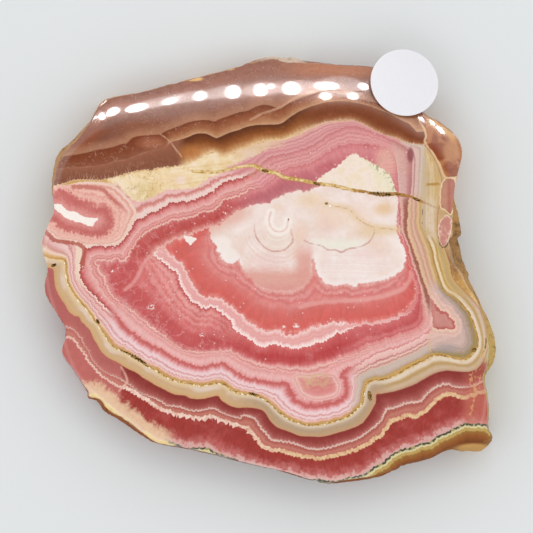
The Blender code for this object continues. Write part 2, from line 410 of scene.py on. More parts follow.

# %% [markdown]
# ## Growth lines
#
# Rhodochrosite in a stalactite grows outwards from its middle, so each band is a
# closed loop round the last. The loops are not circles: they bulge over crystal
# bundles and pinch between them. A noise texture could give bands like these, but it
# can't give this slice's own heart, island and seam. So the main growth lines are
# drawn on the squared paper, from the heart outwards, and the many thin bands
# between two lines are worked out from them in the material.

# %% Lines of the heart
LOOPS = {}                   # closed growth lines, and the edges of patches
LINES = {}                   # thin lines, cracks and steps
LOOPS["heart"] = [
    (96, 261), (105, 261), (112, 259.5), (116, 258.5), (120, 261), (125, 261.5), (127, 258),
    (131, 250), (135, 244), (140, 238), (146, 233), (152, 229.5), (160, 226), (168, 223),
    (175, 219.5), (185, 219), (191, 217.5), (196, 215), (200, 213.5), (205, 211.5), (214, 211),
    (218, 207), (221, 202), (226, 200), (231, 197.5), (234, 198), (240, 195), (246, 193),
    (250, 189), (255, 188.5), (260, 187), (266, 183.5), (272, 179), (278, 174), (285, 168),
    (295, 166), (305, 164), (315, 160), (325, 153), (335, 147), (345, 144), (355, 143),
    (365, 144), (375, 145), (385, 148), (393, 152), (397, 165), (398, 180), (399, 192),
    (400, 205), (400.5, 215), (401, 224), (402, 231), (405, 239), (409, 249), (411, 258),
    (413, 266), (417, 275), (420, 285), (422, 296), (422, 303), (425, 310), (425, 322), (420, 330),
    (410, 334), (400, 337), (390, 340), (380, 344), (370, 347), (360, 352), (350, 356),
    (340, 359), (330, 363), (320, 365), (310, 368), (300, 368.5), (290, 368), (280, 367),
    (270, 367), (260, 364), (250, 361), (238, 356), (230, 351), (218, 351), (205, 352),
    (190, 351), (180, 348), (170, 341), (163, 335), (155, 329), (146, 322), (138, 316),
    (130, 309), (121, 304), (116, 299), (110, 293), (106, 284), (103, 276), (99, 269),
]
CORE_TOP = [
    (153, 255), (160, 247), (170, 242), (180, 237), (190, 234), (200, 230), (210, 227),
    (220, 224), (228, 218), (236, 212), (243, 209), (250, 206), (260, 203.5), (266, 203),
    (270, 202), (274, 199), (280, 196.5), (285, 194), (292, 192.5), (300, 190), (305, 192),
    (320, 186), (340, 187), (352, 190), (365, 192), (380, 194.5), (395, 196),
]
RIBBON_OUTSIDE = [
    (400, 228), (403.5, 239), (407.5, 250), (409.5, 259), (411.5, 267), (415, 276), (418, 285),
    (419, 294), (414, 308), (400, 318), (377.6, 324.4), (358.5, 325.7), (348, 331), (335.5, 334.6),
    (325, 341), (310, 346), (300, 348.5), (290, 348.5), (280, 346), (272, 344), (268, 347),
    (262, 347.5), (256, 344.5), (250, 340), (243, 335), (236, 331), (232, 326), (229, 319),
    (224, 315), (218, 311), (214, 307.5), (207, 308), (201, 307.5), (196, 304), (191, 301),
    (187, 296), (184, 291), (181, 287), (179, 281), (178, 275), (175, 271), (170, 268.5),
    (165, 265), (161, 260), (157, 258),
]
RIBBON_INSIDE = [
    (399, 228), (402.5, 239), (406.8, 250), (408.5, 259), (410, 267), (413.5, 276), (416, 285),
    (417, 294), (411, 306), (399, 315.5), (377.6, 322.4), (358.5, 323.5), (347, 324), (339, 322),
    (327, 324), (314, 328), (300, 333), (290, 336), (282, 333), (275, 330), (268, 331),
    (260, 330), (253, 325), (246, 320), (241, 315), (235, 309), (228, 305), (221, 300),
    (216, 296.5), (210, 298), (203, 297), (198, 292), (193, 286), (190, 280), (187, 274),
    (184, 267), (180, 262), (175, 259), (170, 255), (165, 251), (160, 250),
]
CORE_BOTTOM = [
    (398.6, 199), (397.6, 210.6), (396.5, 229), (399.6, 239), (404.7, 249.4), (405.7, 259.6),
    (401.6, 269.8), (396, 274), (391.4, 277), (385, 279), (377, 282), (372, 281.5), (367, 283.5),
    (361, 283.5), (354.7, 286.5), (349, 284), (344.5, 283.5), (339, 285.5), (332, 285.5),
    (326, 283), (322, 280), (318, 275), (316, 269.8), (315, 263), (312.9, 257.6),
    (311.5, 262), (311, 272), (308, 281), (299.6, 288), (291, 290.5), (283.3, 290.5),
    (272, 289.5), (262.9, 287), (254.7, 282), (246.5, 274), (240.4, 264), (238.4, 257.5),
    (237.3, 261.6), (230.3, 264), (225, 261.5), (222, 258.6), (219.5, 253), (216.5, 251.5),
    (217, 247.5), (214, 243), (210.8, 239), (210, 232),
]
LOOPS["ribbon_outside"] = CORE_TOP + RIBBON_OUTSIDE
LOOPS["ribbon_inside"] = CORE_TOP[1:] + RIBBON_INSIDE
LOOPS["core"] = CORE_TOP[6:] + CORE_BOTTOM

# %% Lines round the heart, from the dark rose line outwards
LOOPS["rose"] = [
    (82, 256), (85, 248), (92, 246.5), (100, 246), (108, 246), (115, 245.5), (121, 243),
    (125, 238), (129, 232), (132, 226), (136, 220), (141, 218), (146, 215), (152, 212),
    (158, 210), (164, 207), (170, 203), (178, 201.5), (187, 201), (194, 200), (197, 198),
    (205, 195), (212, 191), (218, 187), (223, 183), (228, 181), (236, 179), (243, 177),
    (248, 174.5), (255, 171), (260, 165), (266, 159), (275, 155), (290, 152.5), (300, 149),
    (310, 145.5), (320, 140), (327, 134.5), (335, 130.5), (343, 127), (350, 125.5),
    (358, 126.5), (366, 129), (375, 133), (385, 137), (395, 141), (403, 145), (409, 150),
    (412, 160), (412, 170), (412, 180), (411, 190), (409, 198), (408, 205), (408, 215),
    (407, 225), (408, 235), (411, 243), (414, 252), (418, 262), (421, 272), (424, 282),
    (428, 293), (431, 300), (434, 312), (434, 322), (432, 330), (425, 334), (415, 340),
    (405.5, 344.3), (394.7, 348.7), (378.4, 353), (367.6, 359.5), (356.7, 366), (346, 370.4),
    (341, 374), (345, 381), (347, 391), (341.6, 399.6), (330.7, 404), (316.6, 406.1),
    (305.8, 405), (296, 400.7), (290.6, 392), (286, 383), (275, 383.5), (265, 382),
    (255, 380.5), (246, 378), (238, 374), (231, 369), (226, 365), (220, 363.5), (212, 365),
    (204, 366.5), (196, 367), (188, 364), (180, 360.5), (172, 357), (165, 352), (157, 348),
    (148, 345), (140, 339), (134, 334), (127, 329), (122, 323), (118, 317), (112, 312),
    (105, 307), (100, 302), (94, 295), (88, 289), (83, 283), (80, 277), (79.5, 270), (80, 263),
]
CRUST_FOOT = [
    (55, 186), (60, 185), (66, 183.5), (72, 181), (80, 180), (90, 180), (100, 180.5),
    (110, 178.5), (120, 176), (130, 173.5), (138, 171.5), (145, 170.5), (152, 171), (156, 169),
    (163, 168), (172, 167.5), (180, 166), (188, 164.5), (197, 160), (203, 156), (210, 153),
    (216, 152.5), (220, 156), (224, 157.5), (228, 156), (240, 150), (250, 147), (260, 143),
    (270, 141), (280, 140), (290, 137.5), (300, 133), (310, 128), (320, 124), (330, 121.5),
    (345, 120.5), (353, 120.5), (363, 124), (375, 131), (385, 135), (395, 138), (405, 142),
    (415, 144), (424, 145),
]
LOOPS["crust"] = [(20, 186)] + CRUST_FOOT + [
    (427, 142), (433, 152), (440, 165), (445, 177), (457, 176), (520, 160), (500, 0), (20, 0),
]
SEAM_INSIDE = [
    (44, 255), (50, 257), (56, 258), (62, 258.5), (66, 260), (67, 266), (67.5, 274), (69, 282),
    (72, 289), (77, 296), (82, 302), (87, 308), (91, 314), (96, 321), (101, 328), (106, 335),
    (110, 341), (115, 346), (122, 349), (130, 353.5), (138, 359), (147, 364.5), (156, 368.5),
    (163, 373.5), (172, 378), (180, 380.5), (190, 382.5), (200, 384), (210, 383), (218, 382),
    (225, 383), (231, 388), (238, 391), (248, 393), (258, 395.5), (266, 399), (272, 404),
    (278.7, 410.5), (291.7, 419), (308, 424), (322, 423), (335, 420), (346, 416),
    (354.6, 409.4), (361, 402), (363, 392), (365.4, 383.4), (370.8, 379), (383.8, 378),
    (394.7, 373.6), (407.7, 366), (421.8, 359.5), (430, 354.5), (440, 353.5), (448, 355),
    (455, 357), (465, 358), (470, 355), (474, 351), (477, 345), (477, 338), (475, 330),
    (472, 322), (469, 315), (465, 309), (460, 303), (452, 297), (446, 293), (441, 287),
    (438, 280), (436, 272), (433, 262), (431, 252), (429, 245), (426, 238), (424, 232),
]
RIGHT_OF_HEART = [
    (424, 150), (423, 165), (422, 180), (421, 195), (421, 205), (421, 215), (421, 225),
]
LOOPS["banded"] = [(30, 255), (36, 186)] + CRUST_FOOT + RIGHT_OF_HEART + SEAM_INSIDE[::-1]
LOOPS["seam"] = [
    (47, 268), (53, 270), (54, 278), (55, 286), (58, 294), (62, 301), (66, 307), (69, 312),
    (74, 316), (79, 317), (81, 321), (86, 326), (90, 331), (93, 338), (97, 344), (100, 350),
    (104, 355), (110, 359), (118, 363), (124, 367), (130, 370), (137, 373), (143, 378),
    (150, 382), (158, 386.5), (166, 390.5), (174, 394.5), (184, 395.5), (190, 398.5),
    (197, 399), (205, 398.5), (212, 397), (218, 396), (221, 400), (226, 403.5), (233, 407),
    (240, 408), (250, 408), (258, 409), (263, 411), (267, 416), (271, 422), (277, 427.5),
    (284, 430), (292, 433), (300, 436), (310, 436.7), (322.8, 436.7), (342, 431.6),
    (359.7, 425), (368.7, 415), (375.7, 403.5), (376.3, 394.6), (381.4, 394), (396.7, 390.8),
    (412, 385.5), (424.8, 378.5), (435, 373.5), (444, 371), (450, 370.6), (458, 371.5),
    (468, 372), (475, 370), (480, 366), (486, 356), (487, 340), (485, 325), (480, 310),
    (473, 300), (465, 292), (457, 284), (452, 276), (450, 265), (447, 255), (443, 245),
    (438, 237), (437, 225), (438, 212), (441, 200), (442, 190), (441, 178), (437, 165),
    (432, 155), (427, 148), (424, 144), (424, 130), (300, 40), (100, 60), (20, 186), (20, 268),
]
OVER_THE_TOP = [(520, 100), (300, 20), (20, 60)]
LOOPS["white"] = [
    (55, 326), (63, 326), (68, 327), (73, 328.5), (77, 333), (81, 338), (84, 344), (88, 350),
    (91, 357), (96, 364), (102, 370), (110, 374.5), (118, 377.5), (123, 381), (128, 384),
    (133, 388), (140, 393), (156, 399), (162, 402), (167, 405.5), (178, 406.5), (186, 409),
    (193, 411), (203, 410), (212, 408), (218, 410), (225, 414), (233, 416), (240, 418),
    (243, 415), (252, 416.5), (257, 421), (261, 428), (267, 434), (271, 439), (280, 441),
    (290, 442), (300, 445), (310, 448.8), (326.6, 448.2), (342, 443), (358.5, 438),
    (372.5, 427.8), (381, 421), (383, 416), (387, 408.5), (392, 408), (400, 405), (410, 402),
    (418, 401.5), (423, 400), (424, 396), (428, 393), (432, 389), (437, 386.5), (443, 384.5),
    (449, 384), (452, 386), (458, 387), (466, 386.5), (472, 386), (477, 384), (485, 381),
    (520, 380),
] + OVER_THE_TOP + [(10, 326)]
LOOPS["tan"] = [
    (50, 337), (64, 337), (70, 337.5), (74, 338.5), (77, 343), (82, 350), (87, 358), (91, 364),
    (97, 370), (104, 377), (112, 382), (120, 386.5), (126, 386), (138, 393), (150, 401),
    (155, 404), (162, 408.5), (170, 411), (177, 413), (185, 415), (193, 416), (203, 418),
    (210, 415), (216, 417), (222, 419), (230, 421.5), (240, 425), (248, 427), (253, 432),
    (258, 438), (262, 444), (268, 448), (277, 449), (285, 450.5), (297, 454), (310, 455.8),
    (320, 457), (342, 452.6), (361, 446.3), (373.8, 438), (380, 435), (384, 429), (390, 420),
    (400, 417.5), (408, 414), (416, 416), (421, 412), (427, 408), (433, 402), (440, 396),
    (449, 392), (456, 395), (463, 396.5), (470, 394.5), (477, 392.5), (487, 390), (520, 388),
] + OVER_THE_TOP + [(5, 337)]
LOOPS["green"] = [
    (60, 390), (88, 393), (97, 394), (104, 398), (110, 404), (120, 412), (130, 420), (140, 428),
    (150, 434), (160, 438), (170, 441), (178, 445), (190, 448), (204, 447), (215, 452),
    (226, 456), (236, 459), (245, 464), (260, 468), (275, 471), (290, 474), (305, 478),
    (320, 480), (335, 480.5), (350, 478), (365, 473), (380, 464), (390, 456), (396, 452),
    (400, 450), (408, 448), (415, 445.5), (423, 443.5), (430, 441), (436, 437), (443, 434),
    (450, 430), (457, 426.5), (465, 424), (472, 423.5), (480, 424), (489, 424.5), (520, 424),
] + OVER_THE_TOP + [(0, 385)]

# %% Patches that cut across the bands
LOOPS["wedge"] = [(104, 181)] + CRUST_FOOT[7:30] + [
    (290, 138), (290, 146), (280, 147), (270, 149), (262, 152), (255, 156), (246, 160),
    (238, 163), (228, 167), (222, 174), (215, 176), (208, 179), (203, 183), (197, 187),
    (190, 188.5), (180, 189.5), (170, 189.5), (165, 191), (160, 193.5), (155, 196),
    (148, 199.5), (141, 201), (137, 201), (131, 199), (127, 194), (122, 190), (118, 184),
    (110, 182),
]
LOOPS["island"] = [
    (50, 184), (66, 185), (80, 182), (100, 182), (112, 184), (118, 188), (124, 194), (130, 200),
    (135, 207), (137, 213), (135, 219), (130, 226), (127, 233), (122, 240), (116, 244),
    (105, 245), (92, 245), (85, 245), (75, 241), (65, 240), (56, 238), (50, 232), (40, 228),
    (38, 200),
]
LOOPS["island_red"] = [
    (56, 190), (62, 189), (68, 191), (74, 196), (82, 200), (92, 201), (96, 206), (104, 205),
    (110, 210), (113, 217), (113, 226), (108, 233), (100, 237), (90, 236), (75, 233), (62, 230),
    (52, 222), (44, 214), (45, 200),
]
LOOPS["streak"] = [
    (54, 204), (60, 204), (64, 207), (69, 211), (76, 212), (83, 216), (90, 218), (97, 218),
    (98, 220), (95, 222), (93, 226), (88, 225.5), (80, 223), (70, 220), (64, 217), (59, 212),
    (55, 210),
]
LOOPS["cap"] = [
    (318, 179), (324, 174), (330, 171), (340, 164), (348, 156), (353, 154), (356, 153),
    (359, 156), (362, 158), (370, 161), (378, 166), (384, 170), (390, 175), (393, 182),
    (395, 188), (396, 196), (380, 195), (365, 192.5), (352, 190), (340, 187), (330, 185),
    (317, 183),
]
LOOPS["shoulder"] = [
    (424, 100), (427, 142), (433, 152), (440, 165), (445, 177), (457, 176), (480, 160),
    (480, 110), (440, 90),
]
LOOPS["lens"] = [
    (444, 181), (449, 178.5), (455, 181), (454.5, 195), (453, 206), (451, 214), (446, 210),
    (441, 206), (441, 192),
]
LOOPS["small_lens"] = [
    (443, 218), (448, 216), (451, 221), (450, 232), (447, 243), (443, 246), (440, 240),
    (439, 228),
]
LOOPS["triangle"] = [
    (431, 298), (436, 305), (441, 311), (447, 312), (450, 317), (454, 321), (455, 327),
    (453, 330), (447, 329), (440, 329), (433, 327), (432, 318), (431, 308),
]
LOOPS["bulb"] = [
    (293, 376), (300, 373), (308, 374), (316, 372.5), (326, 373), (334, 374), (338, 379),
    (341, 387), (338, 395), (330, 399), (318, 401), (308, 399), (300, 394), (296, 386),
]
LOOPS["flag"] = [(183, 236), (190, 236.5), (197, 238), (195, 241), (191, 245), (187, 242)]

# %% Thin lines and cracks
LINES["vein"] = [
    (187, 168.5), (192, 171), (205, 172), (220, 171.5), (232, 168.5), (245, 166), (255, 166),
    (262, 170), (270, 172), (276, 173), (282, 176.5), (290, 178.5), (300, 180), (310, 182),
    (317, 183.5), (330, 185), (340, 187), (352, 190), (365, 192), (380, 194.5), (395, 194),
    (408, 196), (413, 198), (419, 200.5), (425, 203), (432, 206), (437, 208),
]
LINES["arc"] = [
    (411, 272), (409, 281), (402, 289), (390, 294), (375, 298), (360, 300), (340, 301),
    (325, 302), (312, 304), (300, 307),
]
LINES["island_line"] = [
    (73, 187), (84, 187), (95, 188), (104, 190), (109, 196), (117, 203), (124, 210),
    (130, 217), (132, 224), (130, 231),
]
LINES["island_foot"] = [
    (40, 227), (45, 231), (50, 236), (54, 240), (63, 242), (72, 243), (80, 245), (84, 249),
    (84, 256), (83, 264),
]
FIRST_TERRACE = [
    (85, 153), (97, 150), (113, 147), (120, 144.5), (126, 143.5), (131, 139), (135, 137),
    (143, 135.5), (158, 134.5), (163, 133), (170, 129.5), (180, 125.5), (190, 122), (200, 120),
    (208, 120), (215, 121.5), (220, 119), (238, 112.5), (248, 110.5), (255, 107), (262, 105),
    (268, 105), (275, 107), (280, 107.5), (285, 105), (293, 101.5), (300, 98.5), (313, 94),
]
SECOND_TERRACE = [
    (171, 142), (180, 139.5), (188, 137), (195, 134), (202, 133.5), (208, 134.5), (215, 138),
    (220, 137), (228, 133), (236, 130.5), (242, 128.5), (250, 126), (266, 124.5), (275, 124.5),
    (282, 123), (290, 117), (300, 111), (315, 105), (335, 101), (360, 103), (385, 112),
    (410, 124), (428, 131),
]
LEFT_STEP = [
    (50, 170), (65, 168.5), (85, 167.5), (105, 165), (118, 161.5), (128, 160), (140, 154.5),
    (150, 151.5), (160, 149), (167, 146),
]
LOOPS["upper_terrace"] = FIRST_TERRACE + [
    (330, 92), (420, 110), (520, 100), (500, 0), (0, 0), (20, 165), (60, 157),
]
LOOPS["lower_terrace"] = LEFT_STEP + SECOND_TERRACE + [(520, 100), (500, 0), (0, 0), (20, 172)]
LINES["third_terrace"] = [
    (250, 120), (256, 117), (262, 113.5), (270, 111), (280, 107.5), (287, 103), (296, 97.5),
    (308, 93), (322, 90), (340, 88.5),
]
LINES["crust_crack"] = [(160, 134), (166, 138), (171, 143), (174, 147), (178, 152), (182, 157)]
LINES["shoulder_crack"] = [
    (419, 116), (420, 122), (424, 128), (426, 136), (425, 143), (433, 153), (440, 165),
    (445, 177), (456, 177),
]
LINES["round_lobe"] = [
    (254.5, 224), (254.5, 231), (257, 238), (262, 245), (269, 250), (276, 251.3), (284, 250),
    (290, 245), (293, 240), (291.5, 233), (290, 226), (289, 221),
]
LINES["inner_ring"] = [
    (271, 212), (269, 220), (271, 227), (276, 231.5), (283, 231), (287, 227), (288, 221),
]
LINES["wavy"] = [
    (304, 240), (309, 243), (315, 244.5), (322, 246), (328, 250), (336, 250), (341, 252.3),
    (348, 249), (355, 247.8), (362, 246), (370, 241), (374, 234), (374.5, 227),
]
LINES["fault"] = [(150, 256), (144, 263), (139, 274), (133, 283), (125, 290)]
LINES["rim_fault"] = [(121, 367), (126, 376), (127, 382), (123, 387), (119, 391)]
LINES["thread"] = [
    (326, 204), (333, 206), (340, 207), (350, 210), (358, 219), (370, 226), (385, 228.5),
    (398, 229.5),
]
LINES["right_crack"] = [(486, 338), (486, 344), (484.5, 350), (481.5, 356)]
LINES["roll_crack"] = [
    (306, 97), (312, 95.4), (322, 91.5), (330, 89.8), (341, 90), (352, 90.8), (364, 91.6),
]
LINES["end_vein"] = [(482, 357), (477, 366), (475, 383), (475, 396), (472, 407), (469, 421)]

# %% [markdown]
# ## Distances carried by the mesh
#
# Two kinds of thing are stored at each corner of the mesh as named attributes. For a
# loop it is the signed distance in millimetres, negative inside, so a band between two
# loops knows how far across it each place is. For a thin line it is the plain
# distance. Stored distances bend round corners and run down the sides and through to
# the back exactly as real growth bands do, which a flat picture would not.

# %% Measure every corner against every growth line
LINE_STEPS = 3
FAR = 6.0                    # thin lines are not looked for further off than this


def away_from(curve, places, closed):
    """Distance of each place from a curve, negative inside a closed one, and how far
    along the curve the nearest point lies, all in millimetres."""
    ends = np.roll(curve, -1, axis=0) if closed else curve[1:]
    x, y = places[:, 0].copy(), places[:, 1].copy()
    nearest = np.full(len(places), np.inf)
    travelled = np.zeros(len(places))
    inside = np.zeros(len(places), bool)
    walked = 0.0
    for (ax, ay), (bx, by) in zip(curve, ends):
        dx, dy = bx - ax, by - ay
        long = math.hypot(dx, dy)
        if long == 0.0:
            continue
        t = np.clip(((x - ax) * dx + (y - ay) * dy) / long ** 2, 0.0, 1.0)
        gap = (ax + t * dx - x) ** 2 + (ay + t * dy - y) ** 2
        closer = gap < nearest
        nearest = np.where(closer, gap, nearest)
        travelled = np.where(closer, walked + t * long, travelled)
        walked += long
        if closed and ay != by:
            inside ^= ((ay > y) != (by > y)) & (x < ax + (y - ay) * dx / dy)
    distance = np.sqrt(nearest)
    return np.where(inside, -distance, distance), travelled


def store(name, values):
    """Keeps one number per corner of the mesh under a name."""
    layer = stone_mesh.attributes.new(name, "FLOAT", "POINT")
    layer.data.foreach_set("value", np.ascontiguousarray(values, dtype=np.float32))


WITH_TEETH = (               # these also store how far along them a place lies
    "heart", "ribbon_outside", "core", "rose", "banded", "white", "green", "crust", "island",
)
corner_places = corners[:, :2]
for name, points in LOOPS.items():
    curve = smooth(on_slice(points), LINE_STEPS)
    distances, travelled = away_from(curve, corner_places, True)
    store(name, distances)
    if name in WITH_TEETH:
        store(name + "_along", travelled)
for name, points in LINES.items():
    curve = smooth(on_slice(points), LINE_STEPS, closed=False)
    low, high = curve.min(0) - FAR, curve.max(0) + FAR
    near_it = np.all((corner_places > low) & (corner_places < high), axis=1)
    distances = np.full(len(corners), FAR)
    distances[near_it] = away_from(curve, corner_places[near_it], False)[0]
    store(name, distances)
print(len(LOOPS), "loops and", len(LINES), "thin lines measured at", len(corners), "corners")

# %% How far down the side, how far from the arris, how deep in a pocket
down_the_side = np.zeros(len(corners))
on_the_back = np.zeros(len(corners))
for row, (down, _, _, _) in enumerate(SIDE_PROFILE[1:]):
    start = row_starts[row + 1]
    down_the_side[start:start + count] = down * arris_height
down_the_side[len(corners) - len(back_inner):] = THICKNESS
on_the_back[len(corners) - len(back_inner):] = 1.0
store("down_the_side", down_the_side)
store("on_the_back", on_the_back)

from_arris = np.zeros(len(corners))
from_arris[:len(face_places)] = np.clip(inset(face_places), 0.0, None)
store("from_arris", from_arris)

in_the_pocket = np.zeros(len(corners))
in_the_pocket[:len(face_places)] = pocket_depth(face_places)
store("in_the_pocket", in_the_pocket)

stone_mesh.shade_smooth()
stone_mesh.set_sharp_from_angle(angle=math.radians(50))
slice_of_stone = bpy.data.objects.new("banded_slice", stone_mesh)
bpy.context.scene.collection.objects.link(slice_of_stone)
print("the slice is", [round(side * 1000, 2) for side in slice_of_stone.dimensions], "mm")

# %% [markdown]
# ## A class for shader sums
#
# The bands are a long piece of arithmetic on the stored distances. Nodes are wired by
# hand in Blender's editor, but in a script the same sums read best as Python, so a
# `Wire` holds one socket, and adding or multiplying two of them adds a Math node.
# Colours go through Mix nodes instead, because a Math node would turn them grey.

# %% Wire: one socket that Python can do sums with
class Wire:
    """A socket of the material's node tree."""

    tree = None              # the node tree being built

    def __init__(self, socket):
        self.socket = socket

    @staticmethod
    def node(kind, settings=None, sockets=None, output=0):
        """Adds a node: its settings first, then the values or links of its sockets."""
        made = Wire.tree.nodes.new(kind)
        for name, value in (settings or {}).items():
            if name == "stops":
                lay_stops(made.color_ramp, value)
            else:
                setattr(made, name, value)
        for name, value in (sockets or {}).items():
            if isinstance(value, Wire):
                Wire.tree.links.new(value.socket, made.inputs[name])
            else:
                made.inputs[name].default_value = value
        return Wire(made.outputs[output])

    def maths(self, operation, *others):
        sockets = dict(enumerate((self,) + others))
        return Wire.node("ShaderNodeMath", {"operation": operation}, sockets)

    def __add__(self, other):
        return self.maths("ADD", other)

    __radd__ = __add__

    def __sub__(self, other):
        return self.maths("SUBTRACT", other)

    def __rsub__(self, other):
        return Wire.node("ShaderNodeMath", {"operation": "SUBTRACT"}, {0: other, 1: self})

    def __mul__(self, other):
        return self.maths("MULTIPLY", other)

    __rmul__ = __mul__

    def __truediv__(self, other):
        return self.maths("DIVIDE", other)

    def __neg__(self):
        return self * -1.0


def lay_stops(ramp, stops):
    """Sets a colour ramp's stops from pairs of a position and a colour."""
    ramp.elements.remove(ramp.elements[1])
    ramp.elements[0].position = stops[0][0]
    ramp.elements[0].color = pigment(*stops[0][1])
    for position, colour in stops[1:]:
        ramp.elements.new(position).color = pigment(*colour)


def pigment(red, green, blue):
    """A colour as the shader wants it, from the 0 to 255 of a colour picker."""
    parts = [part / 255 for part in (red, green, blue)]
    return (*[p / 12.92 if p <= 0.04045 else ((p + 0.055) / 1.055) ** 2.4 for p in parts], 1.0)


# %% The few nodes that the finishes are made of
def stored(name):
    """A number kept at the corners of the mesh."""
    return Wire.node("ShaderNodeAttribute", {"attribute_name": name}, output="Fac")


def ease(value, start, end):
    """0 at the start and 1 at the end, in a soft step; the start may be the larger."""
    settings = {"interpolation_type": "SMOOTHSTEP", "clamp": False}
    return Wire.node("ShaderNodeMapRange", settings, {0: value, 1: start, 2: end})


def paint(under, over, mask):
    """One colour over another where the mask is 1. A plain colour is three numbers."""
    under, over = (pigment(*one) if isinstance(one, tuple) else one for one in (under, over))
    return Wire.node("ShaderNodeMix", {"data_type": "RGBA"}, {0: mask, 6: under, 7: over}, 2)


def coats(under, *colours_and_masks):
    """Several colours over one, the first lowest, each where its mask is 1."""
    for over, mask in colours_and_masks:
        under = paint(under, over, mask)
    return under


def ramp(value, stops):
    """A colour for each value from 0 to 1."""
    return Wire.node("ShaderNodeValToRGB", {"stops": stops}, {0: value})


def scaled(colour, factor):
    """A colour made lighter or darker."""
    return Wire.node("ShaderNodeVectorMath", {"operation": "SCALE"}, {0: colour, 3: factor})


def cloud(size, detail=2.0, roughness=0.5, where=None):
    """Soft noise from 0 to 1 with blobs of about this size in the stone, or elsewhere."""
    sockets = {"Vector": where or place, "Scale": 1.0 / size, "Detail": detail, "Roughness": roughness}
    return Wire.node("ShaderNodeTexNoise", {"noise_dimensions": "3D"}, sockets)


def layers(age, size, detail=2.0):
    """Noise along one line of growth: thin bands of about this thickness."""
    sockets = {"W": age, "Scale": 1.0 / size, "Detail": detail}
    return Wire.node("ShaderNodeTexNoise", {"noise_dimensions": "1D"}, sockets)


def teeth(along_line, period, height):
    """Saw-teeth along a line, of this spacing and height in millimetres."""
    sockets = {"W": along_line, "Scale": 1.0 / period}
    tips = Wire.node("ShaderNodeTexVoronoi", {"voronoi_dimensions": "1D"}, sockets, "Distance")
    return (tips - 0.25) * (2.0 * height)


def fibres(along_line, across_it, width, length):
    """Streaks from 0 to 1 that stand on a line, as its needles of crystal do."""
    flat = Wire.node("ShaderNodeCombineXYZ", sockets={0: along_line / width, 1: across_it / length})
    sockets = {"Vector": flat, "Scale": 1.0, "Detail": 2.0}
    return Wire.node("ShaderNodeTexNoise", {"noise_dimensions": "2D"}, sockets)


def swing(noise, reach):
    """Noise that swings to both sides of 0, half its reach each way."""
    return (noise - 0.5) * reach


def between(inner, outer):
    """0 on the inner line and 1 on the outer one."""
    return inner.maths("DIVIDE", inner - outer)


def ease_x(start, end):
    """0 to 1 from one pixel column to another."""
    return ease(paper_x, start, end)


def ease_y(start, end):
    """0 to 1 from one pixel row to another."""
    return ease(paper_y, start, end)


def inside(distance, soft=0.03):
    """1 inside a loop and 0 outside, from its signed distance."""
    return ease(distance, soft, -soft)


def along(distance, half, soft=0.05):
    """1 on a thin line and 0 away from it, from its distance."""
    return ease(distance.maths("ABSOLUTE"), half + soft, half)


# %% [markdown]
# ## The banded stone
#
# The material is painted from the outside in. It starts with the outermost rind
# colour, then covers everything inside each growth line with the bands that lie
# there. A band's colour comes from a ramp over `between`, which runs from 0 on the
# inner line to 1 on the outer line, so its layers crowd where the lines pinch and
# spread where they bulge, as they do in the stone. Before that, a little noise is
# added to the distances. It breaks the lines into the tiny saw-teeth of the crystal
# tips, which all point outwards.

# %% Start the stone's material
def new_material(name):
    """A material with an empty tree but for its shader; returns it with the shader."""
    material = bpy.data.materials.new(name)
    material.use_nodes = True
    Wire.tree = material.node_tree
    return material, material.node_tree.nodes["Principled BSDF"]


def link(wire, shader, socket):
    """Feeds a wire into one socket of the shader."""
    Wire.tree.links.new(wire.socket, shader.inputs[socket])


def millimetres_in_object():
    """The place inside the object, in millimetres."""
    metres = Wire.node("ShaderNodeTexCoord", output="Object")
    return scaled(metres, 1000.0)


stone, stone_shader = new_material("banded_stone")
place = millimetres_in_object()
split = Wire.node("ShaderNodeSeparateXYZ", sockets={0: place})
x_mm = split
y_mm = Wire(split.socket.node.outputs[1])
z_mm = Wire(split.socket.node.outputs[2])
paper_x = x_mm / SQUARE + PAPER_MIDDLE[0]
paper_y = PAPER_MIDDLE[1] - y_mm / SQUARE


def around(x, y, half_x, half_y, soft=0.6):
    """1 in the middle of an oval on the squared paper, fading to 0 at its edge."""
    u = (paper_x - x) / half_x
    v = (paper_y - y) / half_y
    reach = (u * u + v * v).maths("SQRT")
    return ease(reach, 1.0, 1.0 - soft)


fuzz = swing(cloud(0.28, 3.0, 0.7), 0.34)
wander = swing(cloud(1.5, 4.0, 0.6), 0.40) + fuzz * 0.6
facets = Wire.node(
    "ShaderNodeTexVoronoi", {"voronoi_dimensions": "2D"}, {"Vector": place, "Scale": 2.6}, "Distance"
) - 0.4
jagged = wander + facets * 0.50
gentle = wander * 0.5 + facets * 0.12
mottle = cloud(1.5, 5.0, 0.62)


def specks(spacing, radius):
    """1 in scattered round dots, about one in every cell of this spacing, else 0."""
    sockets = {"Vector": place, "Scale": 1.0 / spacing}
    reach = Wire.node("ShaderNodeTexVoronoi", {"voronoi_dimensions": "2D"}, sockets, "Distance")
    return ease(reach * spacing, radius, radius * 0.4)


print("noise ready:", len(Wire.tree.nodes), "nodes")

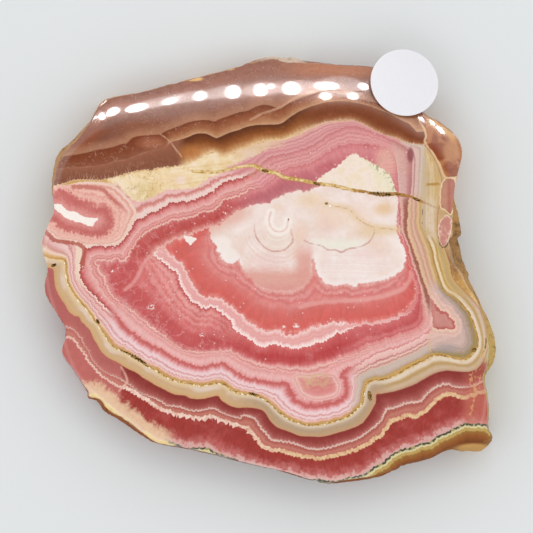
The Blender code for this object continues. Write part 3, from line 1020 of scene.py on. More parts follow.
# %% Bands outside the golden seam
RIND_BANDS = [
    (0.0, (78, 84, 70)), (0.075, (70, 78, 62)), (0.11, (206, 194, 150)), (0.16, (222, 208, 156)),
    (0.22, (176, 146, 78)), (0.28, (196, 164, 96)), (0.36, (150, 108, 52)), (0.50, (148, 88, 40)),
    (0.75, (122, 66, 28)), (1.0, (112, 56, 22)),
]
RIND_BANDS_LEFT = [
    (0.0, (232, 196, 170)), (0.08, (240, 214, 160)), (0.22, (232, 198, 134)), (0.30, (206, 156, 86)),
    (0.42, (184, 122, 56)), (1.0, (150, 86, 34)),
]
ROSE_OUTSIDE = [
    (0.0, (172, 78, 68)), (0.16, (164, 62, 55)), (0.50, (168, 66, 60)), (0.76, (176, 74, 68)),
    (0.90, (186, 88, 82)), (1.0, (192, 100, 94)),
]
BETWEEN_LINES = [
    (0.0, (238, 206, 192)), (0.11, (228, 184, 170)), (0.19, (180, 92, 80)), (0.40, (192, 110, 96)),
    (0.60, (206, 130, 114)), (0.84, (198, 118, 104)), (1.0, (224, 166, 138)),
]
UNDER_SEAM = [
    (0.0, (152, 72, 64)), (0.12, (146, 58, 53)), (0.42, (156, 68, 62)), (0.66, (170, 86, 79)),
    (0.84, (186, 108, 100)), (0.95, (206, 146, 134)), (1.0, (240, 210, 196)),
]
SEAM = [
    (0.0, (206, 158, 104)), (0.05, (196, 154, 92)), (0.10, (184, 140, 72)), (0.15, (204, 174, 128)),
    (0.20, (218, 198, 170)), (0.28, (215, 193, 167)), (0.40, (192, 166, 138)), (0.58, (184, 156, 125)),
    (0.78, (191, 157, 122)), (0.92, (200, 158, 120)), (0.97, (198, 148, 112)), (1.0, (178, 114, 88)),
]
SEAM_LEFT = [
    (0.0, (206, 160, 112)), (0.05, (194, 148, 84)), (0.10, (208, 170, 112)), (0.14, (230, 200, 154)),
    (0.30, (222, 194, 154)), (0.42, (212, 179, 138)), (0.56, (207, 170, 128)), (0.70, (210, 175, 132)),
    (0.86, (210, 170, 120)), (0.95, (212, 164, 120)), (1.0, (188, 126, 88)),
]
SEAM_LAST = [
    (0.0, (208, 162, 98)), (0.05, (196, 146, 66)), (0.11, (168, 124, 58)), (0.16, (222, 198, 160)),
    (0.26, (230, 212, 191)), (0.38, (221, 199, 172)), (0.48, (194, 160, 110)), (0.58, (188, 154, 104)),
    (0.68, (202, 174, 140)), (0.80, (207, 179, 149)), (0.88, (201, 169, 137)), (0.95, (197, 157, 129)),
    (1.0, (182, 124, 102)),
]
SEAM_RIGHT_HIGH = [
    (0.0, (205, 181, 153)), (0.22, (206, 182, 151)), (0.34, (202, 175, 132)), (0.46, (217, 190, 151)),
    (0.58, (220, 193, 151)), (0.70, (208, 173, 113)), (0.82, (207, 174, 126)), (0.92, (212, 178, 134)),
    (1.0, (206, 168, 112)),
]
SEAM_RIGHT_MIDDLE = [
    (0.0, (204, 176, 140)), (0.18, (202, 177, 150)), (0.32, (207, 182, 136)), (0.50, (221, 199, 174)),
    (0.68, (218, 195, 166)), (0.84, (213, 183, 140)), (1.0, (200, 160, 118)),
]
SEAM_RIGHT_LOW = [
    (0.0, (200, 162, 108)), (0.14, (190, 156, 110)), (0.30, (202, 168, 118)), (0.46, (214, 184, 130)),
    (0.62, (190, 160, 108)), (0.82, (198, 164, 106)), (1.0, (204, 170, 122)),
]

needles = stored("green_along")
green = stored("green") + gentle + teeth(needles, 0.40, 0.08) + teeth(needles, 1.9, 0.12)
left_rind = ease_x(178, 160)
dark_gaps = ease(layers(needles, 0.55, 3.0), 0.52, 0.60) * ease(green, 0.30, 0.20)
colour = coats(
    ramp(green / 2.6, RIND_BANDS),
    ((184, 168, 112), dark_gaps * 0.85),
    (ramp(green / 2.6 + swing(mottle, 0.2), RIND_BANDS_LEFT), left_rind),
)

tips = stored("white_along")
tan_teeth = teeth(tips, 0.30, 0.12) + teeth(tips, 1.1, 0.08)
tan = stored("tan") + gentle * 0.7 + tan_teeth
age = between(tan, green + swing(fibres(needles, green, 0.16, 1.4), 0.9))
rose_bands = ramp(age + swing(layers(green + wander, 0.22), 0.10), ROSE_OUTSIDE)
rose_bands = scaled(rose_bands, 0.93 + swing(fibres(tips, green, 0.14, 1.6), 0.50))
left_of_fault = ease(paper_x + (paper_y - 380) * 0.05 + jagged * 6, 123, 120)
frost = green + swing(cloud(0.8, 5.0, 0.72), 2.4)
frost = frost + swing(fibres(needles, green, 0.16, 0.8), 0.4)
whitened = ease(frost, -1.6, -0.7) * left_rind
right_end = ease(paper_x + wander * 6, 458, 470)
rose_bands = coats(
    rose_bands,
    ((200, 104, 100), ease(mottle, 0.45, 0.75) * 0.45),
    ((208, 126, 118), left_of_fault * 0.62),
    ((206, 128, 122), ease(frost, -1.5, -0.5) * 0.6),
    ((220, 176, 166), ease(frost, -0.62, -0.26) * 0.85),
    ((236, 202, 164), whitened * 0.8),
    ((198, 114, 98), right_end * 0.55),
)
colour = paint(colour, rose_bands, inside(green))
big_tips = teeth(tips, 0.50, 0.34) * ease_x(270, 236) * ease_x(160, 174)
tan_width = 0.36 - left_of_fault * 0.18 + big_tips
tan_stripe = ease(tan, tan_width + 0.06, tan_width - 0.04) * ease(tan, -0.10, -0.02)

white = stored("white") + gentle * 0.7 + teeth(tips, 0.28, 0.12)
age = between(white, tan)
line_bands = scaled(ramp(age, BETWEEN_LINES), 0.90)
line_bands = paint(line_bands, (210, 132, 122), left_of_fault * 0.35)
tan_cloud = ease(cloud(0.5, 3.0), 0.4, 0.65)
pinker = paint((242, 212, 196), (228, 180, 158), tan_cloud)
tan_colour = coats(
    (232, 196, 152),
    ((216, 168, 124), tan_cloud),
    (pinker, ease_x(310, 220)),
    ((232, 188, 172), left_of_fault * 0.7),
)
colour = coats(colour, (line_bands, inside(tan)), (tan_colour, tan_stripe))

seam = stored("seam") + wander * 0.5
age = between(seam, white)
under_seam = coats(
    scaled(ramp(age + swing(layers(seam, 0.3), 0.12), UNDER_SEAM), 0.90),
    ((182, 96, 92), ease(mottle, 0.5, 0.8) * 0.4),
    ((198, 118, 110), left_of_fault * 0.65),
    ((186, 104, 100), ease_x(80, 60) * 0.5),
)
end_vein = along(stored("end_vein") + jagged * 0.6, 0.03, 0.18)
end_vein = end_vein + along(stored("end_vein") - 0.5 + jagged, 0.02, 0.14) * ease_y(400, 380)
end_vein = end_vein * ease(cloud(0.6, 3.0), 0.36, 0.56)
rim_fault = along(stored("rim_fault") + wander * 0.4, 0.05, 0.16)
colour = coats(
    colour,
    (under_seam, inside(white)),
    ((192, 104, 88), right_end * inside(green) * ease(seam, 0.0, 0.2) * 0.4),
    ((226, 172, 118), end_vein * 0.65),
    ((232, 180, 160), rim_fault * 0.7),
)

banded_along = stored("banded_along")
banded = stored("banded") + wander * 0.5
age = between(banded, seam)
seam_layers = layers(banded + wander * 0.6, 0.15, 3.0) - 0.5
seam_bands = ramp(age + seam_layers * 0.08, SEAM)
milk = ease(cloud(2.4, 3.0), 0.42, 0.64) * ease(age, 0.16, 0.34) * ease(age, 0.66, 0.44)
column_layers = swing(layers(x_mm + wander * 0.6, 0.34, 3.0), 0.8)
high = ramp(age + column_layers, SEAM_RIGHT_HIGH)
middle = ramp(age + column_layers, SEAM_RIGHT_MIDDLE)
low = ramp(age + swing(layers(banded + wander * 0.6, 0.34, 3.0), 0.8), SEAM_RIGHT_LOW)
seam_right = ease_x(400, 412)
right_seam = coats(high, (middle, ease_y(192, 206)), (low, ease_y(234, 250)))
seam_dust = ease(cloud(0.7, 5.0, 0.7), 0.52, 0.68)
gold_grit = ramp(cloud(0.18, 2.0), [
    (0.34, (112, 74, 26)), (0.45, (184, 136, 52)), (0.56, (206, 160, 80)), (0.65, (250, 234, 188)),
])
no_columns = 1.0 - ease_x(404, 412) * ease_y(320, 300)
gold_fades = ease_x(356, 380)
gold_zone = ease(age, 0.19, 0.14) * ease(age, 0.01, 0.05) * no_columns * (0.85 - gold_fades * 0.45)
broken = ease(layers(banded_along, 1.1, 3.0), 0.53, 0.58) * 0.8 + around(136, 357, 24, 16, 0.3)
gold_thread = along(age - 0.085, 0.008, 0.035) * broken
gold_thread = gold_thread * (1.0 - ease_x(404, 412) * ease_y(212, 204))
glints = along(age - 0.135, 0.015, 0.04) * ease(layers(banded_along + 7.0, 0.5, 2.0), 0.54, 0.60)
glints = glints * no_columns
seam_bands = coats(
    ramp(age + seam_layers * 0.08, SEAM_LEFT),
    (seam_bands, ease_x(214, 268)),
    (ramp(age + seam_layers * 0.05, SEAM_LAST), ease_x(374, 396)),
    ((230, 210, 198), milk * ease_x(250, 210) * 0.65),
    (right_seam, seam_right * ease_y(306, 284)),
    ((206, 164, 92), seam_dust * seam_right * 0.4),
    (gold_grit, gold_zone * ease_x(90, 130)),
    ((96, 60, 24), gold_thread * 0.9),
    ((254, 246, 224), glints * (0.9 - gold_fades * 0.5)),
)
seam_bands = scaled(seam_bands, 1.0 + seam_layers * 0.12)
colour = paint(colour, seam_bands, inside(seam))
print("outer bands ready:", len(Wire.tree.nodes), "nodes")

# %% Bands between the seam and the dark rose line
LEFT_BANDS = [
    (0.0, (240, 206, 194)), (0.10, (240, 212, 202)), (0.16, (226, 160, 150)), (0.22, (206, 124, 116)),
    (0.29, (238, 196, 188)), (0.40, (230, 172, 166)), (0.47, (236, 190, 184)), (0.53, (204, 126, 120)),
    (0.60, (240, 206, 198)), (0.70, (232, 186, 180)), (0.78, (212, 150, 138)), (0.86, (240, 212, 192)),
    (0.94, (224, 178, 128)), (1.0, (200, 154, 82)),
]
TOP_BANDS = [
    (0.0, (228, 172, 172)), (0.13, (220, 150, 154)), (0.24, (206, 126, 134)), (0.34, (226, 162, 165)),
    (0.46, (210, 134, 141)), (0.56, (231, 177, 176)), (0.66, (204, 124, 130)), (0.80, (229, 174, 171)),
    (0.90, (222, 160, 152)), (0.96, (238, 204, 172)), (1.0, (226, 184, 140)),
]
LOW_BANDS = [
    (0.0, (198, 102, 98)), (0.09, (204, 110, 106)), (0.20, (224, 150, 148)), (0.32, (236, 190, 190)),
    (0.44, (240, 210, 209)), (0.52, (238, 200, 199)), (0.57, (214, 138, 137)), (0.63, (236, 200, 199)),
    (0.72, (240, 212, 208)), (0.77, (218, 148, 143)), (0.83, (238, 202, 192)), (0.89, (226, 172, 146)),
    (0.94, (208, 162, 112)), (1.0, (200, 152, 90)),
]
RIGHT_BANDS_HIGH = [
    (0.0, (216, 170, 160)), (0.15, (222, 182, 171)), (0.22, (182, 128, 125)), (0.32, (222, 188, 176)),
    (0.60, (218, 186, 171)), (0.70, (200, 164, 153)), (0.80, (214, 194, 176)), (1.0, (206, 189, 164)),
]
RIGHT_BANDS_LOW = [
    (0.0, (208, 162, 122)), (0.10, (228, 190, 152)), (0.22, (216, 174, 150)), (0.32, (204, 152, 130)),
    (0.42, (224, 188, 160)), (0.60, (203, 150, 128)), (0.72, (214, 178, 136)), (0.80, (222, 188, 148)),
    (0.90, (204, 166, 104)), (1.0, (196, 160, 108)),
]
LOW_RIGHT_BANDS = [
    (0.0, (238, 200, 190)), (0.12, (236, 192, 182)), (0.24, (232, 182, 174)), (0.30, (190, 112, 106)),
    (0.38, (240, 206, 192)), (0.46, (200, 136, 126)), (0.54, (222, 190, 172)), (0.60, (202, 184, 168)),
    (0.72, (207, 186, 172)), (0.84, (198, 174, 158)), (0.92, (188, 156, 114)), (1.0, (206, 164, 90)),
]
LOBE_BANDS = [
    (0.0, (206, 120, 108)), (0.08, (230, 190, 170)), (0.18, (222, 180, 164)), (0.28, (230, 196, 182)),
    (0.38, (212, 174, 160)), (0.48, (222, 188, 176)), (0.60, (206, 172, 160)), (0.68, (212, 182, 170)),
    (0.78, (192, 164, 152)), (0.87, (176, 153, 138)), (0.94, (158, 134, 84)), (1.0, (188, 154, 78)),
]

rose_along = stored("rose_along")
straight = ease_x(385, 398) * ease_y(322, 302) * (1.0 - ease_y(190, 206) * 0.5)
rose_teeth = teeth(rose_along, 0.26, 0.12) + teeth(rose_along, 0.72, 0.12)
top = ease_y(178, 170) * ease_x(225, 240)
rose_teeth = rose_teeth * (1.0 - straight * 0.8 - top * 0.3)
rose = stored("rose") + wander * 0.6 + rose_teeth
age = between(rose, banded + rose_teeth * 0.4)
age = age + swing(layers(rose, 0.11, 3.0), 0.10)
bands = ramp(age, LEFT_BANDS)
at_the_foot = ease(paper_x + (paper_y - 320) * 0.5, 98, 118) * ease_y(296, 314)
low_age = age + swing(cloud(1.1, 4.0, 0.65), 0.20)
ivory = ease(age, 0.42, 0.30) * ease_x(92, 80) * ease_y(300, 270)
right_bands = paint(ramp(age, RIGHT_BANDS_HIGH), ramp(age, RIGHT_BANDS_LOW), ease_y(190, 204))
low_right = ease_x(345, 362) * ease_y(320, 336)
lobe_here = ease_x(424, 434) * ease_y(276, 292)
lobe_age = age + swing(layers(banded + wander, 0.28, 3.0), 0.35)
gold_line = along(paper_x - 430 - wander * 8, 0.2, 0.9) * around(430, 346, 6, 7, 0.5)
bands = coats(
    bands,
    (ramp(age + swing(mottle, 0.14), TOP_BANDS), top),
    ((214, 164, 136), top * 0.18),
    (ramp(low_age, LOW_BANDS), at_the_foot),
    ((244, 220, 196), ivory * 0.85),
    (right_bands, ease_x(398, 404) * ease_y(322, 302)),
    (ramp(age, LOW_RIGHT_BANDS), low_right),
    (ramp(lobe_age, LOBE_BANDS), lobe_here),
    ((168, 155, 153), around(446, 348, 15, 7, 0.8) * 0.6),
    ((222, 186, 130), gold_line * 0.7),
)
bands = scaled(bands, 1.0 + swing(layers(rose + wander * 0.3, 0.10, 3.0), 0.16))
colour = paint(colour, bands, inside(banded))

# %% Bands between the dark rose line and the heart
ROSE_BANDS = [
    (0.0, (240, 206, 190)), (0.07, (236, 186, 174)), (0.14, (210, 124, 118)), (0.24, (232, 168, 160)),
    (0.33, (216, 138, 132)), (0.43, (236, 182, 174)), (0.56, (230, 164, 158)), (0.70, (222, 146, 142)),
    (0.84, (206, 110, 106)), (0.93, (184, 84, 82)), (1.0, (170, 72, 72)),
]
ROSE_BANDS_TOP = [
    (0.0, (232, 176, 174)), (0.10, (212, 130, 134)), (0.22, (229, 166, 166)), (0.34, (213, 134, 138)),
    (0.46, (231, 170, 169)), (0.58, (207, 123, 129)), (0.70, (223, 156, 157)), (0.84, (211, 132, 136)),
    (1.0, (196, 106, 114)),
]
ROSE_BANDS_LOW = [
    (0.0, (240, 206, 190)), (0.06, (234, 180, 170)), (0.13, (216, 136, 130)), (0.21, (236, 180, 174)),
    (0.34, (226, 156, 150)), (0.50, (234, 176, 170)), (0.66, (236, 184, 178)), (0.80, (232, 170, 165)),
    (0.89, (228, 158, 154)), (0.95, (208, 118, 114)), (1.0, (196, 98, 94)),
]
ROSE_BANDS_RIGHT = [
    (0.0, (230, 198, 188)), (0.10, (220, 177, 168)), (0.55, (214, 166, 158)), (0.74, (197, 140, 136)),
    (0.92, (187, 124, 122)), (1.0, (184, 118, 116)),
]
ROSE_BANDS_RIGHT_LOW = [
    (0.0, (196, 130, 118)), (0.14, (230, 186, 168)), (0.36, (214, 156, 142)), (0.48, (170, 110, 96)),
    (0.88, (158, 98, 84)), (1.0, (170, 106, 92)),
]
heart_along = stored("heart_along")
heart_teeth = teeth(heart_along, 0.28, 0.12) + teeth(heart_along, 0.90, 0.12)
heart_teeth = heart_teeth * (1.0 - straight * 0.8)
heart = stored("heart") + wander * 0.7 + heart_teeth
age = between(heart, rose) + swing(layers(heart, 0.13, 3.0), 0.12)
low_age = age + swing(mottle, 0.20)
right_bands = paint(
    ramp(age, ROSE_BANDS_RIGHT), ramp(age, ROSE_BANDS_RIGHT_LOW),
    ease_y(192, 206)
)
bands = coats(
    ramp(age, ROSE_BANDS),
    (ramp(age, ROSE_BANDS_TOP), ease_x(246, 266) * ease_y(200, 190)),
    (ramp(low_age, ROSE_BANDS_LOW), at_the_foot),
    (right_bands, ease_x(386, 398) * ease_y(322, 302)),
    ((218, 160, 138), top * 0.2),
)
bands = scaled(bands, 1.0 + swing(fibres(rose_along, rose, 0.12, 0.9), 0.32))
pale = around(247, 168, 26, 13, 0.8) * ease(cloud(0.9, 4.0), 0.34, 0.56)
bands = paint(bands, (228, 188, 164), pale * 0.6)
dark_spot = around(410.5, 155, 4.2, 10, 0.5)
colour = coats(colour, (bands, inside(rose)), ((150, 82, 86), dark_spot * 0.9))
print("bands to the heart ready:", len(Wire.tree.nodes), "nodes")

# %% The heart: red round the ribbon, the ribbon, and red inside it
HEART_ABOVE = [
    (0.0, (236, 196, 178)), (0.08, (226, 158, 146)), (0.20, (206, 116, 108)), (0.40, (190, 82, 78)),
    (0.70, (196, 92, 88)), (0.90, (198, 96, 92)), (1.0, (214, 134, 126)),
]
HEART_ABOVE_RIGHT = [
    (0.0, (222, 176, 166)), (0.08, (196, 122, 124)), (0.40, (192, 110, 116)), (0.65, (204, 118, 122)),
    (0.85, (218, 140, 140)), (1.0, (208, 120, 120)),
]
HEART_LEFT = [
    (0.0, (196, 92, 88)), (0.03, (192, 84, 82)), (0.07, (222, 134, 128)), (0.13, (234, 164, 158)),
    (0.18, (214, 120, 114)), (0.24, (232, 156, 150)), (0.31, (216, 118, 112)), (0.38, (230, 152, 146)),
    (0.44, (212, 112, 108)), (0.52, (218, 124, 120)), (0.64, (200, 94, 92)), (0.90, (198, 92, 92)),
    (1.0, (222, 150, 144)),
]
HEART_BELOW = [
    (0.0, (212, 112, 108)), (0.16, (204, 96, 94)), (0.46, (188, 72, 72)), (0.70, (192, 80, 80)),
    (0.84, (208, 110, 108)), (0.92, (226, 150, 146)), (1.0, (232, 172, 164)),
]
HEART_RIGHT = [
    (0.0, (214, 120, 118)), (0.2, (206, 104, 104)), (0.5, (196, 88, 88)), (0.68, (214, 124, 122)),
    (0.78, (202, 98, 98)), (0.88, (226, 150, 146)), (1.0, (220, 146, 138)),
]
RIBBON = [
    (0.0, (246, 214, 206)), (0.16, (240, 190, 184)), (0.34, (230, 162, 156)), (0.48, (236, 178, 172)),
    (0.62, (230, 160, 156)), (0.76, (242, 198, 192)), (0.90, (250, 226, 218)), (1.0, (250, 232, 224)),
]
INNER_RED = [
    (0.0, (234, 182, 172)), (0.06, (226, 158, 150)), (0.12, (214, 124, 118)), (0.19, (230, 158, 152)),
    (0.26, (214, 120, 116)), (0.36, (224, 142, 136)), (0.46, (218, 124, 118)), (0.60, (216, 112, 104)),
    (0.86, (214, 102, 94)), (0.96, (222, 128, 120)), (1.0, (236, 170, 162)),
]

ribbon_along = stored("ribbon_outside_along")
ribbon_teeth = teeth(ribbon_along, 0.28, 0.13) + teeth(ribbon_along, 0.80, 0.15)
ribbon_outside = stored("ribbon_outside") + wander * 0.6 + ribbon_teeth
age = between(ribbon_outside, heart)
age = age + swing(layers(ribbon_outside + wander, 0.3, 3.0), 0.10)
above = ease(paper_y + (paper_x - 96) * 0.06, 266, 256)
upper_bands = paint(ramp(age, HEART_ABOVE), ramp(age, HEART_ABOVE_RIGHT), ease_x(215, 262))
bands = coats(
    ramp(age, HEART_LEFT),
    (ramp(age, HEART_BELOW), ease_x(200, 256)),
    (ramp(age, HEART_RIGHT), ease_x(330, 366)),
    (upper_bands, above),
    ((230, 180, 163), around(386, 163, 15, 24, 0.7) * 0.75),
)
bands = scaled(bands, 1.0 + swing(fibres(heart_along, heart, 0.20, 2.0), 0.36))
threads = ease((cloud(1.9, 4.0, 0.6) - 0.5).maths("ABSOLUTE"), 0.022, 0.0)
bands = coats(
    bands,
    ((226, 148, 146), ease(mottle, 0.50, 0.78) * 0.42),
    ((176, 66, 70), ease(mottle, 0.46, 0.24) * 0.35),
    ((236, 174, 172), threads * 0.40 * ease_x(262, 190)),
)
colour = paint(colour, bands, inside(heart))

ribbon_inside = stored("ribbon_inside") + wander * 0.6 + ribbon_teeth * 1.2
age = between(ribbon_inside, ribbon_outside)
ribbon_colour = ramp(age + swing(layers(ribbon_outside, 0.16, 2.0), 0.14), RIBBON)
ribbon_ends = ease(paper_x + wander * 6, 394, 408) * ease_y(322, 306)
colour = paint(colour, ribbon_colour, inside(ribbon_outside) * (1.0 - ribbon_ends * 0.85))

core_along = stored("core_along")
core = stored("core") + gentle * 1.6 + teeth(core_along, 0.5, 0.08)
age = between(core, ribbon_inside) + swing(layers(core + wander, 0.35, 3.0), 0.12)
bands = ramp(age + swing(mottle, 0.22), INNER_RED)
bands = scaled(bands, 1.0 + swing(fibres(core_along, core, 0.2, 2.0), 0.30))
bands = paint(bands, (222, 118, 104), ease(mottle, 0.52, 0.80) * 0.5)
arc = stored("arc") + wander
arc_here = along(arc, 0.06, 0.34) * inside(ribbon_inside)
colour = coats(colour, (bands, inside(ribbon_inside)), ((232, 164, 156), arc_here * 0.75))

# %% [markdown]
# ## The core, and what lies in the heart
#
# The pale core is where the stalactite began: nearly white crystals, tinted peach and
# tan where a little iron got in. Its own lobes show as hair-thin lines. The dome
# below its middle is the first pink, fading into the red round it.

# %% The pale core
core_cloud = cloud(2.4, 5.0, 0.6)
peach_edge = ease(paper_y + (paper_x - 212) * 0.36, 240, 226) * ease_x(262, 236)
core_colour = coats(
    (242, 220, 208),
    ((247, 231, 222), ease(core_cloud, 0.40, 0.62)),
    ((240, 210, 184), ease(core_cloud, 0.44, 0.28) * 0.6),
    ((232, 176, 158), peach_edge * 0.75),
)
CORE_TINTS = [               # x, y, half width, half height, softness, strength, colour
    (222, 244, 13, 10, 0.5, 0.7, (250, 240, 232)), (230, 255, 10, 9, 0.5, 0.7, (250, 240, 232)),
    (262, 211, 11, 9, 0.6, 0.6, (247, 230, 220)), (278, 240, 20, 13, 0.5, 0.7, (243, 229, 214)),
    (268, 262, 26, 13, 0.7, 0.7, (240, 214, 206)), (310, 200, 24, 12, 0.9, 0.8, (240, 212, 178)),
    (356, 206, 17, 10, 0.8, 0.7, (245, 222, 212)), (328, 224, 22, 14, 0.9, 0.6, (240, 206, 192)),
    (384, 209, 17, 11, 0.9, 0.9, (235, 198, 156)), (374, 231, 30, 10, 0.9, 0.8, (234, 206, 164)),
    (352, 268, 50, 20, 0.6, 0.6, (248, 234, 228)), (368, 254, 26, 10, 0.9, 0.5, (240, 208, 198)),
    (334, 259, 4, 9, 0.9, 0.6, (252, 242, 236)), (350, 259, 3, 8, 0.9, 0.5, (252, 242, 236)),
    (342, 217, 44, 17, 0.8, 0.6, (243, 214, 188)), (300, 232, 12, 16, 0.9, 0.5, (240, 206, 182)),
]
for x, y, half_x, half_y, soft, strength, tint in CORE_TINTS:
    core_colour = paint(core_colour, tint, around(x, y, half_x, half_y, soft) * strength)
dome_y = paper_y + (fuzz + wander) * 14
dome = ease(dome_y, 263, 276) * around(276, 268, 44, 34, 0.35)
gap = ease(paper_x + wander * 14, 290, 303) * ease_x(316, 309) * ease_y(238, 260)
ring_reach = ((paper_x - 278) * (paper_x - 278) + (paper_y - 228) * (paper_y - 228)).maths("SQRT")
ring_lines = ease(layers(ring_reach + wander * 14, 2.2, 3.0), 0.47, 0.60)
rings_here = around(275, 248, 46, 38, 0.4) * ease_y(226, 240)
flat_lines = ease(layers(paper_y + wander * 12 - (paper_x - 350) * 0.02, 2.0, 3.0), 0.48, 0.60)
white_band = ease(paper_y + wander * 10, 235, 244) * ease(stored("wavy") + wander * 0.3, 0.0, 0.2)
white_band = white_band * around(340, 240, 34, 12, 0.4)
rim_white = ease(core, -0.75, -0.15) * ease_y(236, 244)
rim_white = rim_white * (1.0 - ease_x(238, 244) * ease_x(318, 308))
core_colour = coats(
    core_colour,
    ((228, 170, 156), dome),
    ((224, 152, 144), ease(dome_y, 280, 291) * dome * 0.8),
    ((228, 164, 150), gap * 0.9),
    ((234, 190, 178), ring_lines * rings_here * 0.35),
    ((238, 206, 196), flat_lines * around(352, 268, 48, 22, 0.4) * 0.3),
    ((242, 236, 220), white_band * ease_y(254, 250)),
    ((250, 238, 232), rim_white * 0.75),
)
core_colour = scaled(core_colour, 0.975 + swing(cloud(0.9, 4.0, 0.65), 0.07))
lobe = along(stored("round_lobe") + wander * 0.3, 0.04, 0.11)
disc_edge = stored("inner_ring") + gentle * 0.4
wavy = along(stored("wavy") + wander * 0.4, 0.04, 0.10)
thread = stored("thread") + wander * 0.6
colour = coats(
    colour,
    (core_colour, inside(core, 0.07)),
    ((204, 146, 132), lobe * ease_y(217, 238) * 0.8),
    ((250, 240, 230), along(disc_edge - 0.25, 0.10, 0.30) * 0.7),
    ((226, 182, 166), along(disc_edge, 0.02, 0.16) * 0.7),
    ((204, 158, 146), wavy * 0.8),
    ((232, 202, 160), along(thread, 0.05, 0.7) * 0.6),
    ((196, 154, 92), along(thread, 0.01, 0.10) * 0.75),
    ((132, 108, 48), around(326.5, 203.5, 2.4, 1.8, 0.6)),
    ((255, 255, 255), around(330, 206, 1.4, 1.2, 0.6)),
    ((150, 96, 70), around(288.5, 219.5, 1.2, 2.0, 0.8)),
)
print("core ready:", len(Wire.tree.nodes), "nodes")

# %% White patches, the bulb, and small faults
flag = stored("flag") + jagged * 0.5
colour = paint(colour, (248, 234, 226), inside(flag, 0.05))
WHITE_FLECKS = [             # x, y, half width, half height
    (151, 307, 6, 4), (202, 335, 4, 3), (296, 326, 5, 4), (284, 327, 3, 3), (112, 271, 3, 2),
    (340, 324, 8, 4), (226, 213, 2, 2), (357, 157, 2, 2), (146, 215, 2, 1.5),
]
fleck_grain = ease(cloud(0.25, 3.0), 0.46, 0.58)
for x, y, half_x, half_y in WHITE_FLECKS:
    colour = paint(colour, (250, 232, 226), around(x, y, half_x, half_y, 0.8) * fleck_grain)
heart_specks = specks(1.15, 0.11) * ease(cloud(2.5), 0.52, 0.60) * inside(rose)
colour = paint(colour, (244, 206, 202), heart_specks * (1.0 - inside(core)) * 0.8)

cap = stored("cap") + jagged * 0.5
cap_cloud = cloud(1.1, 4.0, 0.6)
cap_right = ease(paper_x - paper_y * 0.6, 262, 276)
green_dots = ease(cloud(0.30, 3.0), 0.55, 0.62) * ease(cap, -0.9, -0.1) * cap_right
cap_colour = coats(
    (245, 228, 212),
    ((240, 220, 188), ease(cap_cloud, 0.45, 0.62) * 0.8),
    ((242, 214, 202), ease(cap_cloud, 0.42, 0.30) * 0.8),
    ((236, 230, 196), cap_right * 0.6),
    ((150, 158, 108), green_dots * 0.8),
)
colour = paint(colour, cap_colour, inside(cap, 0.08))

bulb = stored("bulb") + gentle
bulb_bands = ramp((-bulb + (fuzz * 0.4)) / 1.6, [
    (0.0, (238, 200, 190)), (0.10, (226, 158, 152)), (0.22, (238, 196, 186)), (0.36, (226, 156, 150)),
    (0.60, (220, 138, 134)), (1.0, (216, 130, 126)),
])
beige = around(315, 380, 26, 13, 0.7) * ease(cloud(0.8, 5.0, 0.7), 0.42, 0.54)
bulb_lines = ease(layers(paper_y + (paper_x - 320) * 0.25 + wander * 16, 1.8, 3.0), 0.52, 0.62)
bulb_bands = coats(
    bulb_bands,
    ((216, 178, 142), beige * 0.8),
    ((196, 104, 98), bulb_lines * around(324, 381, 18, 8, 0.6) * 0.6),
)
colour = paint(colour, bulb_bands, inside(bulb, 0.08))

fault = along(stored("fault") + wander, 0.04, 0.3)
colour = paint(colour, (236, 170, 164), fault * 0.6)

# %% The island on the left
ISLAND_BANDS = [
    (0.0, (212, 126, 117)), (0.10, (230, 166, 153)), (0.24, (239, 190, 173)), (0.36, (228, 158, 145)),
    (0.46, (241, 197, 180)), (0.58, (234, 174, 160)), (0.70, (241, 203, 187)), (0.82, (226, 160, 145)),
    (0.90, (241, 210, 192)), (1.0, (234, 194, 172)),
]
island = stored("island") + gentle
island_teeth = teeth(stored("island_along"), 0.30, 0.18)
island_red = stored("island_red") + jagged + island_teeth
age = between(island_red, island) + swing(layers(island, 0.16, 3.0), 0.2)
bands = ramp(age, ISLAND_BANDS)
red = ramp((-island_red) / 1.5 + swing(mottle, 0.6), [
    (0.0, (210, 128, 121)), (0.25, (197, 106, 100)), (0.6, (207, 121, 115)), (1.0, (222, 150, 142)),
])
streak = stored("streak") + gentle + island_teeth * 0.3
red = coats(
    red,
    ((216, 136, 130), ease(mottle, 0.50, 0.72) * 0.55),
    ((228, 156, 148), ease(streak, 0.8, 0.1) * 0.5),
)
island_line = along(stored("island_line") + gentle + island_teeth * 0.3, 0.10, 0.26)
island_line = island_line * ease(paper_y + (paper_x - 90) * 0.25, 228, 208)
bands = coats(
    bands,
    (red, inside(island_red, 0.10)),
    ((192, 100, 88), island_line * 0.8),
    ((252, 242, 232), inside(streak, 0.05)),
)
foot = along(stored("island_foot") + gentle + island_teeth * 0.3, 0.16, 0.16)
colour = coats(colour, (bands, inside(island, 0.08)), ((184, 98, 82), foot * 0.9))

# %% [markdown]
# ## The wedge, the crust and the rough right side
#
# A wedge of cream and olive carbonate filled the gap under the brown crust. The crust
# itself is a later, iron-rich layer: the same mineral, but brown and see-through, with
# steps where it stopped growing and started again. On the right the rim broke and
# healed, so several small lenses lie side by side there.

